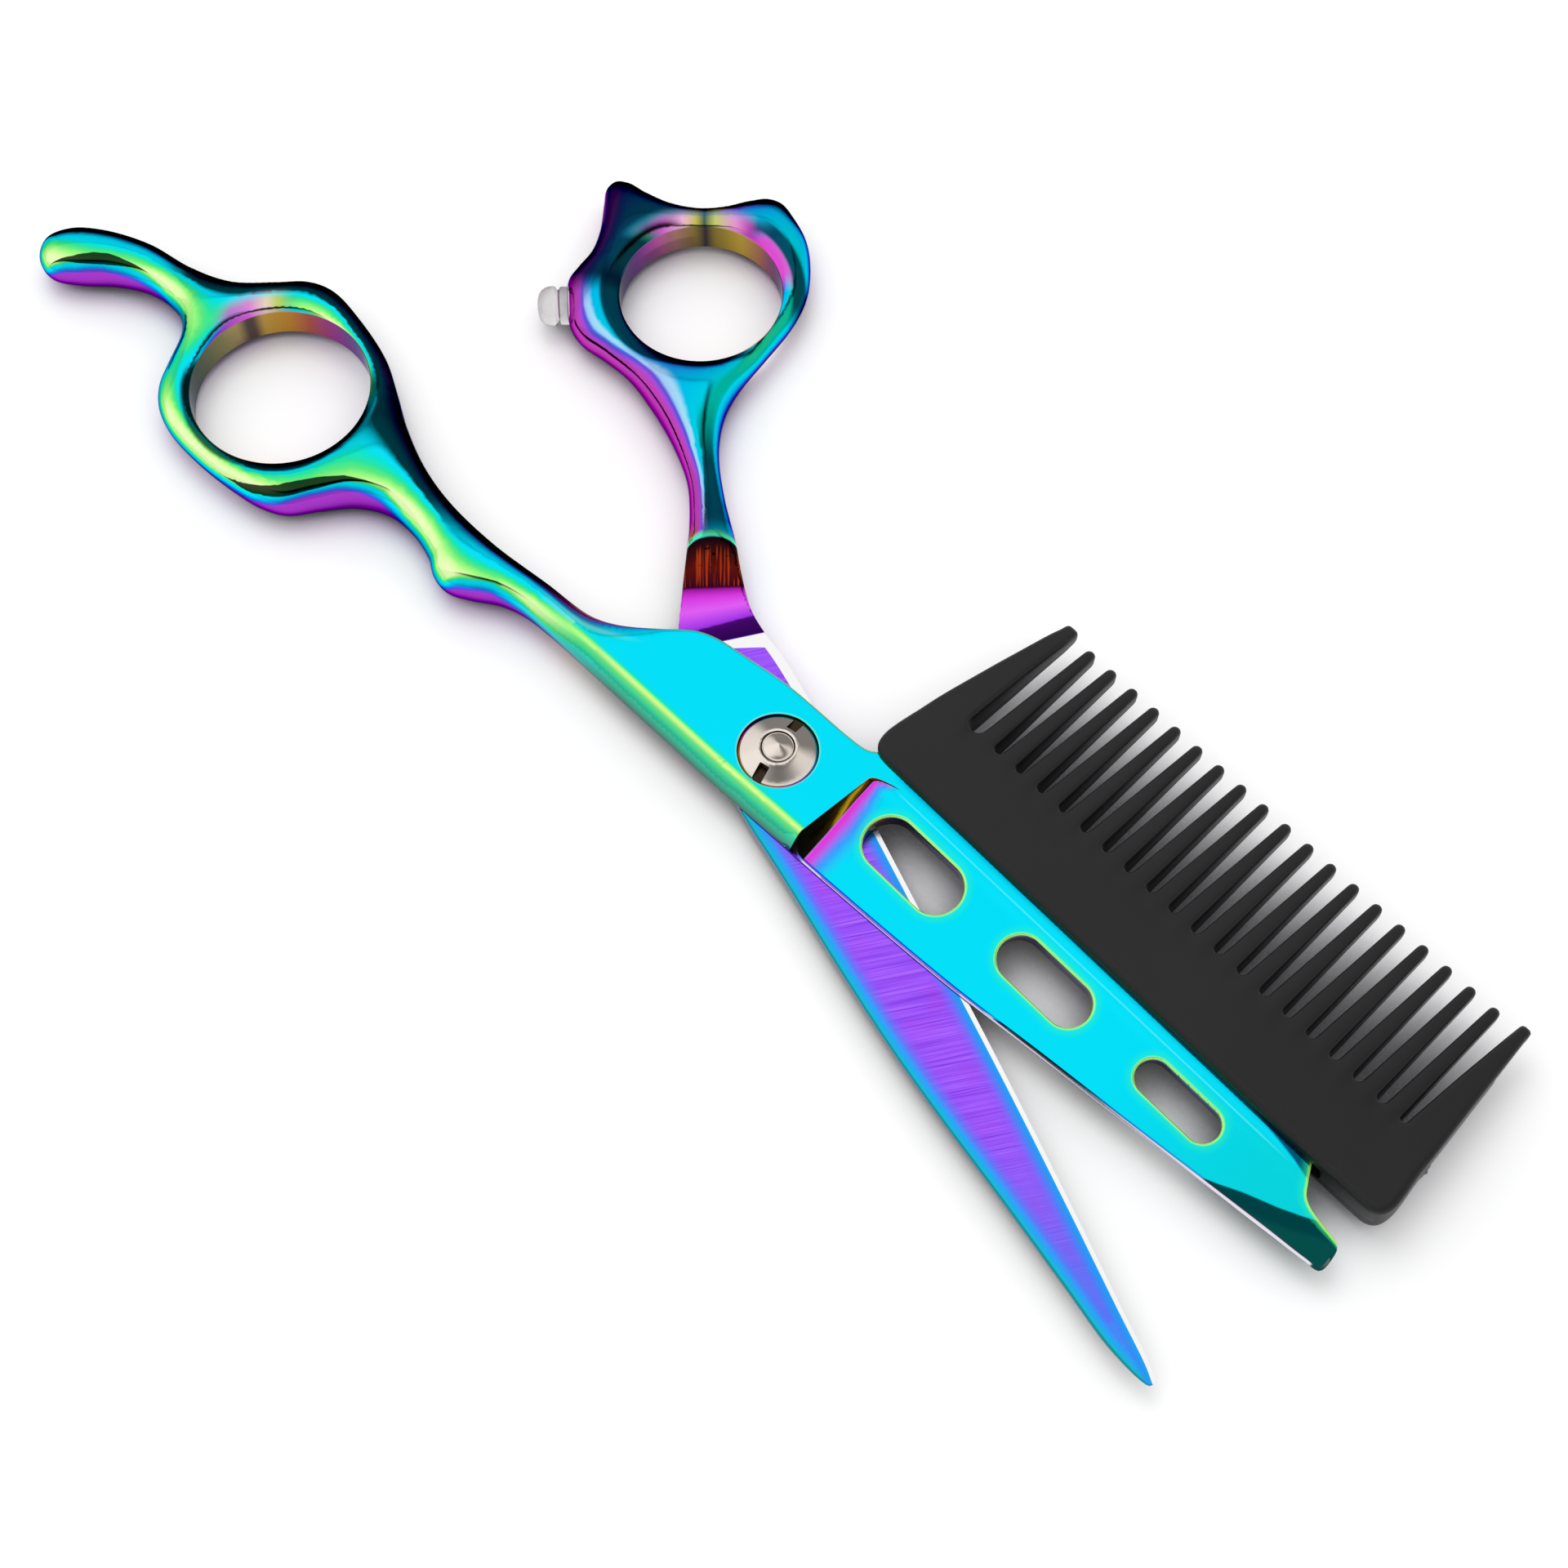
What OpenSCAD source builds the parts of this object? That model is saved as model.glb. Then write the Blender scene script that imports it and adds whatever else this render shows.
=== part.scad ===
// Straight barber shears, seven inch class, with a clip-on guide comb.
// Origin: the pivot axis at the plane where the two halves meet.
// +Z runs up along the pivot to the side of the tension nut.
// +X runs toward the blade tips, along the spine of the upper blade.
// All sizes are millimetres. The lower half is drawn in its closed position
// and turned back by open_angle.

/* [Opening] */
// Angle between the two halves as they lie at rest
open_angle = 16.3; // [2:0.1:50]

/* [Blades] */
// Half of the running gap between the two halves
gap = 0.05; // [0.03:0.01:0.1]
// Height of the pivot block above the meeting plane
block_h = 3.2; // [3:0.1:3.6]
// Drop from the pivot block to the ground face of the blade
step_drop = 1.0; // [0.5:0.1:1.4]
// Reach of the upper blade tip from the pivot
tip_x = 85.7; // [84:0.1:90]
// Thickness left at the very edge of each blade
edge_t = 0.12; // [0.08:0.02:0.3]
// Radius of the slot ends, first slot
slot1_r = 3.2; // [2.4:0.1:3.4]
// Radius of the slot ends, second slot
slot2_r = 2.7; // [2:0.1:2.9]
// Radius of the slot ends, third slot
slot3_r = 2.05; // [1.5:0.05:2.3]
// Distance between the end centres of a slot
slot_len = 7.6; // [5:0.1:8]

/* [Rings] */
// Inside diameter of the finger ring
finger_d = 22.8; // [21:0.1:23.4]
// Inside diameter of the thumb ring
thumb_d = 21; // [19:0.1:21.6]
// Depth of both rings along the pivot direction
ring_h = 7.2; // [6.6:0.1:7.4]
// Width of the flare at each mouth of a ring
flare = 1.1; // [0.6:0.1:1.3]

/* [Pivot] */
// Diameter of the counterbore in the upper half
cbore_d = 9.65; // [9.4:0.05:10]
// Diameter of the tension nut
nut_d = 9.45; // [9:0.05:9.5]
// Diameter of the bolt shank
bolt_d = 4; // [3.5:0.1:4.2]
// Height of the conical end of the bolt
cone_h = 0.65; // [0.3:0.05:0.9]
// Outside diameter of the bushing
bush_d = 5.6; // [5.2:0.1:6]
// Radial running clearance of the bushing and the nut on the bolt
run_fit = 0.04; // [0.02:0.01:0.08]
// Width across the flats of the bolt key
key_w = 4.4; // [4.2:0.1:4.8]
// Diameter of the bolt head
head_d = 8; // [7:0.1:9]

/* [Comb] */
// Number of slim teeth
slim_teeth = 19; // [10:1:19]
// Spacing of the teeth
pitch = 3.506; // [3.2:0.002:3.51]
// Reach of the teeth from the pivot line
tooth_y = 37.2; // [32:0.1:40]
// Reach of the tooth gaps
root_y = 18.3; // [16:0.1:20]
// Height of the top face of the comb
comb_top = 4.1; // [4:0.1:4.6]
// Height of the bottom face of the comb
comb_bot = -1.0; // [-1.4:0.1:-0.8]
// Closed end of the groove
groove_x = 78.6; // [77.8:0.1:80]
// Clearance of the comb on the spine, all round
comb_fit = 0.04; // [0.02:0.01:0.1]

/* [Bumper] */
// Diameter of the bumper head
bumper_d = 5.2; // [4.6:0.1:5.4]
// Distance that the bumper stands out
bumper_h = 4.2; // [3.4:0.1:4.3]
// Diameter of the bumper stem
stem_d = 2.4; // [2:0.1:2.8]
// Length of the bumper stem
stem_l = 2.8; // [2:0.1:3]

/* [Hidden] */

over = 1;                       // overrun of cuts below the meeting plane

// Upper blade
blade_x = 8;                    // root of both blades
step_z = block_h - step_drop;   // ground face beside the pivot block
spine_y = 9.6;                  // spine of the upper blade, inside the comb
land_y = 6.3;                   // inner edge of the raised spine land
land_h = 0.25;                  // height of the land above the blade face
spine_drop = 0.012;             // thinning of the spine per millimetre

// Rings
finger_c = [-81, -10];
thumb_c = [-63.6, 21.4];
ring_stock = 0.9;               // ring body left inside the bore, cut away later
flare_over = 0.4;               // extra depth of the flare

// Boss that carries the bumper
boss_c = [-70.9, 6.1];
boss_a = -115;                  // direction the bumper points
boss_d = 5.9;
boss_l = 5.2;

// Pivot stack
floor_z = 1.4;                  // floor of the counterbore
glide_d = 9;
glide_t = 0.45;                 // recess level of the glide washer, below the bushing
glide_slack = 0.01;             // slack on each face of the glide washer
wave_d = 8.8;
wave_bore = 6;
wave_t = 0.4;
bush_top = 1.78;
nut_z = floor_z + wave_t;       // the nut rests on the wave washer
nut_rim_h = 1.15;
nut_chamfer = 0.18;
nut_crown_h = 1.17;
nut_notch_w = 1.24;
head_top = -2.4;                // upper face of the bolt head
head_h = 1.1;
key_top = -0.4;
shank_z = -0.5;
shank_h = 4.6;
bolt_chamfer_h = 0.12;
bolt_end_d = bolt_d - 0.3;

// ---- curves -----------------------------------------------------------
// Catmull-Rom point between b and c at fraction t
function curve_point(a, b, c, d, t) =
    0.5 * ((2*b) + (c - a)*t + (2*a - 5*b + 4*c - d)*t*t + (3*b - a - 3*c + d)*t*t*t);
// smooth curve through all points, with a number of steps per segment
function open_curve(points, steps) = let (last = len(points) - 1) concat(
    [for (i = [0:last-1], k = [0:steps-1])
        curve_point(points[max(i-1, 0)], points[i], points[i+1],
                    points[min(i+2, last)], k/steps)],
    [points[last]]);
function ring_curve(points, steps) = let (count = len(points))
    [for (i = [0:count-1], k = [0:steps-1])
        curve_point(points[(i+count-1)%count], points[i], points[(i+1)%count],
                    points[(i+2)%count], k/steps)];

// ---- solids from rows of points ----------------------------------------
function flat(lists) = [for (list = lists) for (item = list) item];
function total(vectors) = [for (v = vectors) 1]*vectors;
function centre(row) = total(row)/len(row);
// vector along the turning axis of a row
function spin(row, mid) =
    total([for (i = [0:len(row)-1]) cross(row[i] - mid, row[(i+1)%len(row)] - mid)]);

// Upright rounded rectangle across a station, with a number of steps per corner.
// Station: start x, start y, end x, end y, low z, high z, corner radius.
function section(station, steps) = let (
    start = [station[0], station[1]],
    end = [station[2], station[3]],
    low = station[4],
    high = station[5],
    width = norm(end - start),
    along = (end - start)/width,
    r = min(station[6], width/2 - 0.05, (high - low)/2 - 0.05))
    [for (corner = [0:3], k = [0:steps]) let (
        angle = 90*corner + 90*k/steps,
        mid_along = (corner == 0 || corner == 3) ? width - r : r,
        mid_z = (corner < 2) ? high - r : low + r,
        p = start + along*(mid_along + r*cos(angle)))
        [p[0], p[1], mid_z + r*sin(angle)]];

// Skin over rows of equal length; a closed loft joins the last row to the first
module loft(rows, closed = false) {
    row_count = len(rows);
    n = len(rows[0]);
    last = closed ? row_count - 1 : row_count - 2;
    mid = centre(rows[0]);
    // true when the rows turn counterclockwise about the direction of the loft
    up = spin(rows[0], mid)*(centre(rows[1]) - mid) > 0;
    sides = flat([for (i = [0:last], j = [0:n-1]) let (
        this = i*n,
        next = ((i+1)%row_count)*n,
        k = (j+1)%n)
        up ? [[this + j, next + k, this + k], [this + j, next + j, next + k]]
           : [[this + j, this + k, next + k], [this + j, next + k, next + j]]]);
    fore = [for (j = [0:n-1]) j];
    back = [for (j = [n-1:-1:0]) j];
    end_start = (row_count-1)*n;
    caps = closed ? []
        : [up ? fore : back, [for (j = up ? back : fore) end_start + j]];
    polyhedron(points = flat(rows), faces = concat(sides, caps), convexity = 8);
}

// Ring body between an outline and the bore, with a softened square section
module ring(outline, middle, bore_d) {
    inner = bore_d/2 - ring_stock;
    loft([for (p = ring_curve(outline, 2)) let (
        outer = norm(p - middle),
        outward = (p - middle)/outer,
        mid = (outer + inner)/2,
        half = (outer - inner)/2)
        [for (k = [0:11]) let (
            angle = 30*k + 15,
            d = mid + half*sign(cos(angle))*pow(abs(cos(angle)), 0.62),
            z = ring_h/2*sign(sin(angle))*pow(abs(sin(angle)), 0.72))
            [middle[0] + outward[0]*d, middle[1] + outward[1]*d, z]]],
        closed = true);
}

// Round bore with a 45 degree flare at both mouths
module ring_hole(middle, bore_d) {
    r = bore_d/2;
    flare_cone = 1.5*(flare + 0.9);
    translate([middle[0], middle[1], -ring_h]) cylinder(r = r, h = 2*ring_h, $fn = 96);
    for (side = [0, 1])
        translate([middle[0], middle[1], 0]) mirror([0, 0, side])
            translate([0, 0, ring_h/2 - flare - flare_over])
                cylinder(r1 = r, r2 = r + flare_cone, h = flare_cone, $fn = 96);
}

// ---- upper half ----------------------------------------------------------
// section stations from the pivot block to the finger ring
upper_shank = [
    [11, -6.9, 11, 7.0, 0, block_h, 0.4],
    [4, -7.2, 4, 7.4, 0, block_h, 0.4],
    [-5, -7.7, -5, 7.1, 0, block_h, 0.5],
    [-14, -7.8, -14, 5.6, 0, block_h, 0.5],
    [-19, -8, -18.4, 4.1, 0, block_h, 0.6],
    [-24.5, -8.2, -22.2, 0.8, 0, block_h, 0.8],
    [-30, -8.4, -27, -2.6, -0.5, block_h, 1.2],
    [-36, -8.9, -33, -3.3, -2.4, 3.1, 2],
    [-40, -10.2, -38, -3.4, -2.9, 3, 2.4],
    [-42.8, -12.3, -42, -4.3, -3, 3, 2.6],
    [-45.8, -13.6, -46, -5, -3, 3, 2.7],
    [-50, -12.1, -50, -5.1, -3, 3, 2.7],
    [-54.5, -11.1, -54.5, -5, -3, 3, 2.7],
    [-59, -11.4, -60, -3.8, -3, 3, 2.7],
    [-62.8, -13.4, -66, -1.8, -3, 3, 2.7],
    [-66.5, -16.5, -71, -0.6, -3, 3, 2.7]];
// outer edge of the finger ring: x, y
finger_outline = [
    [-67, -1.5], [-76, 3.2], [-83, 4.6], [-88.5, 5], [-92, 3.6], [-95, -0.5],
    [-98, -5.5], [-98, -12], [-95, -17.5], [-93, -21], [-90, -23.2], [-86.5, -24.2],
    [-80, -24.4], [-73.5, -23.5], [-70, -22.5], [-67.3, -20.5], [-65.5, -16], [-64.5, -9]];
// section stations of the rest that runs on behind the finger ring
finger_rest = [
    [-90, -12, -90, -3, -2.8, 2.8, 2.6],
    [-96, -13, -96, -3.5, -2.8, 2.8, 2.6],
    [-101, -12, -101.5, -5.8, -2.8, 2.8, 2.6],
    [-106.5, -12.6, -106, -6.6, -2.8, 2.8, 2.6],
    [-111.3, -15.8, -110.5, -7.6, -2.8, 2.8, 2.6],
    [-114.6, -19, -115.6, -10.2, -2.7, 2.7, 2.5],
    [-117, -20.1, -119, -12.6, -2.4, 2.4, 2.3],
    [-119, -19.6, -120.8, -15.2, -1.6, 1.6, 1.5]];
// blade stations: x, cutting edge y, edge shoulder z
upper_blade = [
    [blade_x, -7.1, 1.5], [16, -6.8, 1.5], [26, -6.2, 1.45], [36, -5.4, 1.4],
    [47, -4.2, 1.3], [58, -3, 1.2], [70, -1.7, 1.05], [79, -0.7, 0.9], [tip_x, 0.1, 0.8]];
// slots: x and y of the end centre nearer the pivot, end radius
slots = [[17.4, 1.5, slot1_r], [37.9, 2.25, slot2_r], [58.1, 2.8, slot3_r]];
// curved edge of the notch behind the square tip, then the corners outside the blade: x, y
tip_notch = [[76.2, spine_y + 0.4], [76.9, 8.2], [78.1, 6.4], [79.3, 4.8], [81, 4.2],
    [83.2, 3.8], [85.1, 3.4]];
tip_notch_outside = [[88, 3], [92, 3], [92, 12], [75.9, 12]];

// Each row runs from the cutting edge over the top to the spine
module upper_blade_body()
    loft([for (s = open_curve(upper_blade, 2)) let (
        x = s[0],
        edge = s[1],
        spine_z = block_h - spine_drop*(x - blade_x),
        face_z = spine_z - land_h,
        shoulder = min(s[2], step_z))
        [[x, edge, gap],
         [x, edge, gap + edge_t],
         [x, edge + 0.9, shoulder - 0.35],
         [x, edge + 2.6, shoulder + 0.1],
         [x, (edge + land_y)/2 + 0.8, (shoulder + face_z)/2 + 0.25],
         [x, land_y - 0.9, face_z],
         [x, land_y, spine_z],
         [x, spine_y, spine_z],
         [x, spine_y, gap]]]);

module slot(x, y, r) {
    for (end = [0, slot_len])
        translate([x + end, y, -over]) cylinder(r = r, h = 6, $fn = 64);
    translate([x, y - r, -over]) cube([slot_len, 2*r, 6]);
}

module upper_half() color([0.1, 0.75, 0.85]) {
    difference() {
        union() {
            difference() {
                loft([for (s = open_curve(upper_shank, 3))
                    section(s + [0, 0, 0, 0, gap, 0, 0], 3)]);
                // slanting step at the blade end of the pivot block
                translate([10, -9, step_z]) rotate([0, 0, -9]) cube([4, 14, 3]);
            }
            upper_blade_body();
            ring(finger_outline, finger_c, finger_d);
            loft([for (s = open_curve(finger_rest, 2)) section(s, 3)]);
        }
        ring_hole(finger_c, finger_d);
        // counterbore, bushing bore and glide washer recess
        translate([0, 0, floor_z]) cylinder(d = cbore_d, h = 4, $fn = 96);
        translate([0, 0, -over]) cylinder(d = bush_d, h = 4, $fn = 64);
        translate([0, 0, -over]) cylinder(d = glide_d + 0.1, h = over + glide_t - gap, $fn = 64);
        for (s = slots) slot(s[0], s[1], s[2]);
        translate([0, 0, -over]) linear_extrude(height = 6)
            polygon(concat(open_curve(tip_notch, 4), tip_notch_outside));
    }
}

// ---- lower half ----------------------------------------------------------
// section stations from the pivot to the thumb ring
lower_shank = [
    [11, -6.5, 11, 6.2, -3.5, 0, 0.4],
    [4, -6.8, 4, 6.7, -3.6, 0, 0.4],
    [-6, -6.8, -6, 7.1, -3.6, 0, 0.5],
    [-13, -6, -12, 7.1, -3.6, 0, 0.5],
    [-18.5, -4.2, -16, 6.7, -3.6, 0, 0.6],
    [-23.6, -1.4, -20, 6.6, -3.6, 0, 0.8],
    [-26, 0.3, -23, 7.2, -3.6, 0.6, 1.1],
    [-28.5, 1.8, -26, 8, -3.4, 1.7, 1.6],
    [-31.5, 3.6, -29.5, 9.1, -3, 2.6, 2.2],
    [-36, 6, -34.3, 10.4, -2.9, 2.9, 2],
    [-40, 7.5, -38.8, 11.8, -2.9, 2.9, 2],
    [-44, 8.2, -42.6, 13.5, -3, 3, 2.3],
    [-48.3, 8.6, -46.3, 16.6, -3, 3, 2.6],
    [-53, 8.4, -49.5, 21.5, -3, 3, 2.7]];
// outer edge of the thumb ring: x, y
thumb_outline = [
    [-75, 8.7], [-76.5, 11.8], [-79.4, 14.3], [-83.6, 17], [-85.7, 19.2],
    [-84.9, 21], [-81.6, 22.4], [-78.8, 24.3], [-76.5, 27.3], [-75.3, 30.8], [-74.7, 34.3],
    [-73.8, 37], [-71.4, 38.2], [-65.6, 38], [-61.8, 36.8], [-57.6, 34.2], [-54, 30.2],
    [-51.2, 25.3], [-49.5, 20], [-49.2, 14.5], [-52.5, 9.6], [-57.5, 7.7], [-62, 6.2],
    [-65, 4.8], [-68, 4.7], [-72, 6.2]];
// blade stations: x, cutting edge y, back y, depth of the back below the meeting plane
lower_blade = [
    [blade_x, 6.5, -6.6, 3.4], [18, 6.1, -6.2, 3.1], [28, 5.7, -5.8, 2.8],
    [38, 5.2, -5.2, 2.5], [48, 4.8, -4.1, 2.2], [59, 4.2, -2.6, 1.9], [70, 3.5, -1.3, 1.6],
    [78, 2.9, -0.4, 1.3], [82.6, 2.5, 0.4, 1.1], [84.4, 2.1, 1.5, 0.7]];

// Each row runs from the cutting edge to the back and returns underneath
module lower_blade_body()
    loft([for (s = open_curve(lower_blade, 2)) let (
        x = s[0],
        edge = s[1],
        back = s[2],
        depth = s[3],
        bevel = min(2.4, (edge - back)*0.4))
        [[x, edge, -gap],
         [x, back, -gap],
         [x, back, -depth*0.55],
         [x, back + bevel*0.45, -depth],
         [x, back + (edge - back)*0.55, -depth*0.93],
         [x, edge - bevel*0.4, -depth*0.4],
         [x, edge, -gap - edge_t]]]);

// Frame on the bumper seat: z points outward at tilt 90, into the boss at -90
module at_boss(tilt)
    translate([boss_c[0], boss_c[1], 0]) rotate([0, 0, boss_a]) rotate([0, tilt, 0])
        children();

module lower_half() color([0.45, 0.3, 0.85]) rotate([0, 0, -open_angle]) {
    difference() {
        union() {
            loft([for (s = open_curve(lower_shank, 3))
                section(s - [0, 0, 0, 0, 0, gap, 0], 3)]);
            lower_blade_body();
            ring(thumb_outline, thumb_c, thumb_d);
            at_boss(-90) cylinder(d = boss_d, h = boss_l, $fn = 48);
        }
        ring_hole(thumb_c, thumb_d);
        // square seat for the bolt key, and the recess of the bolt head
        translate([-key_w/2, -key_w/2, -4]) cube([key_w, key_w, 5]);
        translate([0, 0, -4]) cylinder(d = head_d + 0.1, h = 4 + head_top, $fn = 64);
        // flat seat of the bumper and its stem hole
        at_boss(90) cylinder(d = 7.4, h = 3, $fn = 48);
        at_boss(-90) translate([0, 0, -2]) cylinder(d = stem_d, h = 2 + stem_l + 0.1, $fn = 32);
    }
}

// ---- pivot ---------------------------------------------------------------
module pivot_bolt() color([0.72, 0.7, 0.68]) rotate([0, 0, -open_angle]) union() {
    key_z = head_top - 0.05;
    chamfer_z = shank_z + shank_h;
    translate([0, 0, head_top - head_h]) cylinder(d = head_d, h = head_h, $fn = 64);
    translate([-key_w/2, -key_w/2, key_z]) cube([key_w, key_w, key_top - key_z]);
    translate([0, 0, shank_z]) cylinder(d = bolt_d, h = shank_h, $fn = 64);
    // chamfer and low conical end
    translate([0, 0, chamfer_z])
        cylinder(d1 = bolt_d, d2 = bolt_end_d, h = bolt_chamfer_h, $fn = 64);
    translate([0, 0, chamfer_z + bolt_chamfer_h])
        cylinder(d1 = bolt_end_d, d2 = 0.3, h = cone_h, $fn = 64);
}

module tension_nut() color([0.76, 0.74, 0.71]) {
    chamfer_z = nut_z + nut_rim_h;
    crown_d = nut_d - 0.5;
    difference() {
        union() {
            translate([0, 0, nut_z]) cylinder(d = nut_d, h = nut_rim_h, $fn = 96);
            // rim chamfer and conical crown
            translate([0, 0, chamfer_z])
                cylinder(d1 = nut_d, d2 = crown_d, h = nut_chamfer, $fn = 96);
            translate([0, 0, chamfer_z + nut_chamfer])
                cylinder(d1 = crown_d, d2 = bolt_d + 0.6, h = nut_crown_h, $fn = 96);
        }
        translate([0, 0, 1]) cylinder(r = bolt_d/2 + run_fit, h = 5, $fn = 64);
        // two notches for the spanner key
        for (turn = [0, 180]) rotate([0, 0, turn + 103])
            translate([2.8, -nut_notch_w/2, 2.9]) cube([3, nut_notch_w, 3]);
    }
}

module wave_washer() color([0.6, 0.6, 0.6]) difference() {
    translate([0, 0, floor_z]) cylinder(d = wave_d, h = wave_t, $fn = 64);
    translate([0, 0, 1]) cylinder(d = wave_bore, h = 1, $fn = 64);
}

module pivot_bushing() color([0.92, 0.91, 0.86]) difference() {
    translate([0, 0, glide_t]) cylinder(d = bush_d, h = bush_top - glide_t, $fn = 64);
    cylinder(r = bolt_d/2 + run_fit, h = 3, $fn = 64);
}

module glide_washer() color([0.93, 0.93, 0.9]) difference() {
    translate([0, 0, glide_slack - gap])
        cylinder(d = glide_d, h = glide_t - 2*glide_slack, $fn = 64);
    translate([0, 0, -over]) cylinder(r = bolt_d/2 + 0.1, h = 3, $fn = 64);
}

// ---- guide comb ------------------------------------------------------------
// outline of the comb back, clockwise from above: x, y
comb_outline = [
    [8.8, 8], [7.4, 9.1], [7.1, 11.4], [7.5, 15], [8.2, root_y], [13, root_y],
    [30, root_y], [47, root_y], [64, root_y], [80, root_y], [85.9, root_y], [86.3, 14.5],
    [86.9, 10.4], [86.2, 8.6], [84.4, 8], [66, 8], [46, 8], [27, 8], [12, 8]];
// layers of the comb back, with rounded rims: inset, z
comb_layers = [
    [0.8, comb_bot], [0.25, comb_bot + 0.25], [0, comb_bot + 0.9],
    [0, comb_top - 0.9], [0.25, comb_top - 0.25], [0.8, comb_top]];
first_slim_x = 16.24;
slim_root_w = 2.3;
slim_tip_w = 1.35;
slim_y = tooth_y - 0.4;         // reach of the slim teeth
// slim tooth stations: y, width, cut in height, corner radius
slim_tooth = [
    [root_y - 3, slim_root_w, 0.4, 0.5],
    [root_y + 3, slim_root_w, 0.4, 0.5],
    [(root_y + slim_y)/2, (slim_root_w + slim_tip_w)/2, 0.85, 0.45],
    [slim_y - 0.6, slim_tip_w, 1.45, 0.45],
    [slim_y, slim_tip_w*0.5, 1.85, 0.25]];
// broad end teeth, drawn for a tooth_y of broad_y: y, low x, high x, cut in height
broad_y = 37.2;
low_x_tooth = [
    [16, 7.9, 12.9, 0], [20, 8.3, 12.9, 0], [27, 9.6, 13.1, 0.4],
    [35, 11, 13.3, 1.2], [37, 11.4, 13.1, 1.5], [37.6, 11.9, 12.8, 1.9]];
high_x_tooth = [
    [16, 81.2, 86.1, 0], [20, 81.3, 85.8, 0], [27, 81.7, 85, 0.4],
    [35, 82.2, 84.1, 1.2], [37, 82.4, 83.9, 1.5], [37.6, 82.8, 83.6, 1.9]];
groove_start = 6;
groove_h = 2.1;                 // height of each of the two groove cuts

// cut thins the tooth, by a little less at the top than at the bottom
function tooth_section(low_x, high_x, y, cut, r, steps) =
    section([low_x, y, high_x, y, comb_bot + cut, comb_top - cut*0.8, r], steps);

module slim_tooth_at(x)
    loft([for (s = slim_tooth)
        tooth_section(x - s[1]/2, x + s[1]/2, s[0], s[2], s[3], 2)]);

module broad_tooth(stations)
    loft([for (s = stations)
        tooth_section(s[1], s[2], s[0] + tooth_y - broad_y, s[3], 0.6, 3)]);

// clockwise outline pulled in along its normals, at height z
function inset(outline, distance, z) = let (n = len(outline)) [for (i = [0:n-1]) let (
    chord = outline[(i+1)%n] - outline[(i+n-1)%n],
    along = chord/norm(chord))
    [outline[i][0] + along[1]*distance, outline[i][1] - along[0]*distance, z]];

module guide_comb() {
    outline = ring_curve(comb_outline, 3);
    groove_y = spine_y + comb_fit;
    color([0.08, 0.08, 0.08]) difference() {
        union() {
            loft([for (layer = comb_layers) inset(outline, layer[0], layer[1])]);
            for (i = [0:slim_teeth-1]) slim_tooth_at(first_slim_x + i*pitch);
            broad_tooth(low_x_tooth);
            broad_tooth(high_x_tooth);
        }
        // groove for the spine of the upper blade: level floor, sloping roof
        translate([groove_start, 0, gap - comb_fit])
            cube([groove_x - groove_start, groove_y, groove_h]);
        translate([blade_x, 0, block_h + comb_fit]) rotate([0, atan(spine_drop), 0])
            translate([-blade_x, 0, -groove_h]) cube([groove_x, groove_y, groove_h]);
    }
}

// ---- bumper ----------------------------------------------------------------
bumper_r = bumper_d/2;
// half profile of the head: radius, distance from the seat
bumper_profile = [
    [0, 0], [bumper_r - 0.1, 0], [bumper_r - 0.1, 1.3], [bumper_r - 0.35, 1.5],
    [bumper_r - 0.35, 1.7], [bumper_r, 1.95], [bumper_r, 2.7], [bumper_r - 0.3, 3.3],
    [bumper_r - 0.9, 3.8], [bumper_r - 1.7, bumper_h - 0.08], [0, bumper_h]];

module bumper() color([0.9, 0.92, 0.94]) rotate([0, 0, -open_angle]) at_boss(90) {
    translate([0, 0, 0.02]) rotate_extrude($fn = 64) polygon(bumper_profile);
    translate([0, 0, -stem_l]) cylinder(d = stem_d - 0.04, h = stem_l + 0.5, $fn = 32);
}

upper_half();
lower_half();
pivot_bolt();
tension_nut();
wave_washer();
pivot_bushing();
glide_washer();
guide_comb();
bumper();
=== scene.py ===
"""Rainbow-coated shears with a black guide comb on the upper blade.

The pivot axis is Z through the origin. Blades point to +X, finger and thumb rings lie at -X.
The upper half lies above z = 0 with its cutting edge on the -Y side and its spine on the +Y
side, where the comb sits with its teeth toward +Y. The lower half lies below z = 0; it is
drawn closed and then turned about the pivot. Shapes are in mm, meshes are made in metres.
"""
import math
import bpy
import numpy as np
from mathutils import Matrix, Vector
from mathutils.geometry import delaunay_2d_cdt


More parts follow.
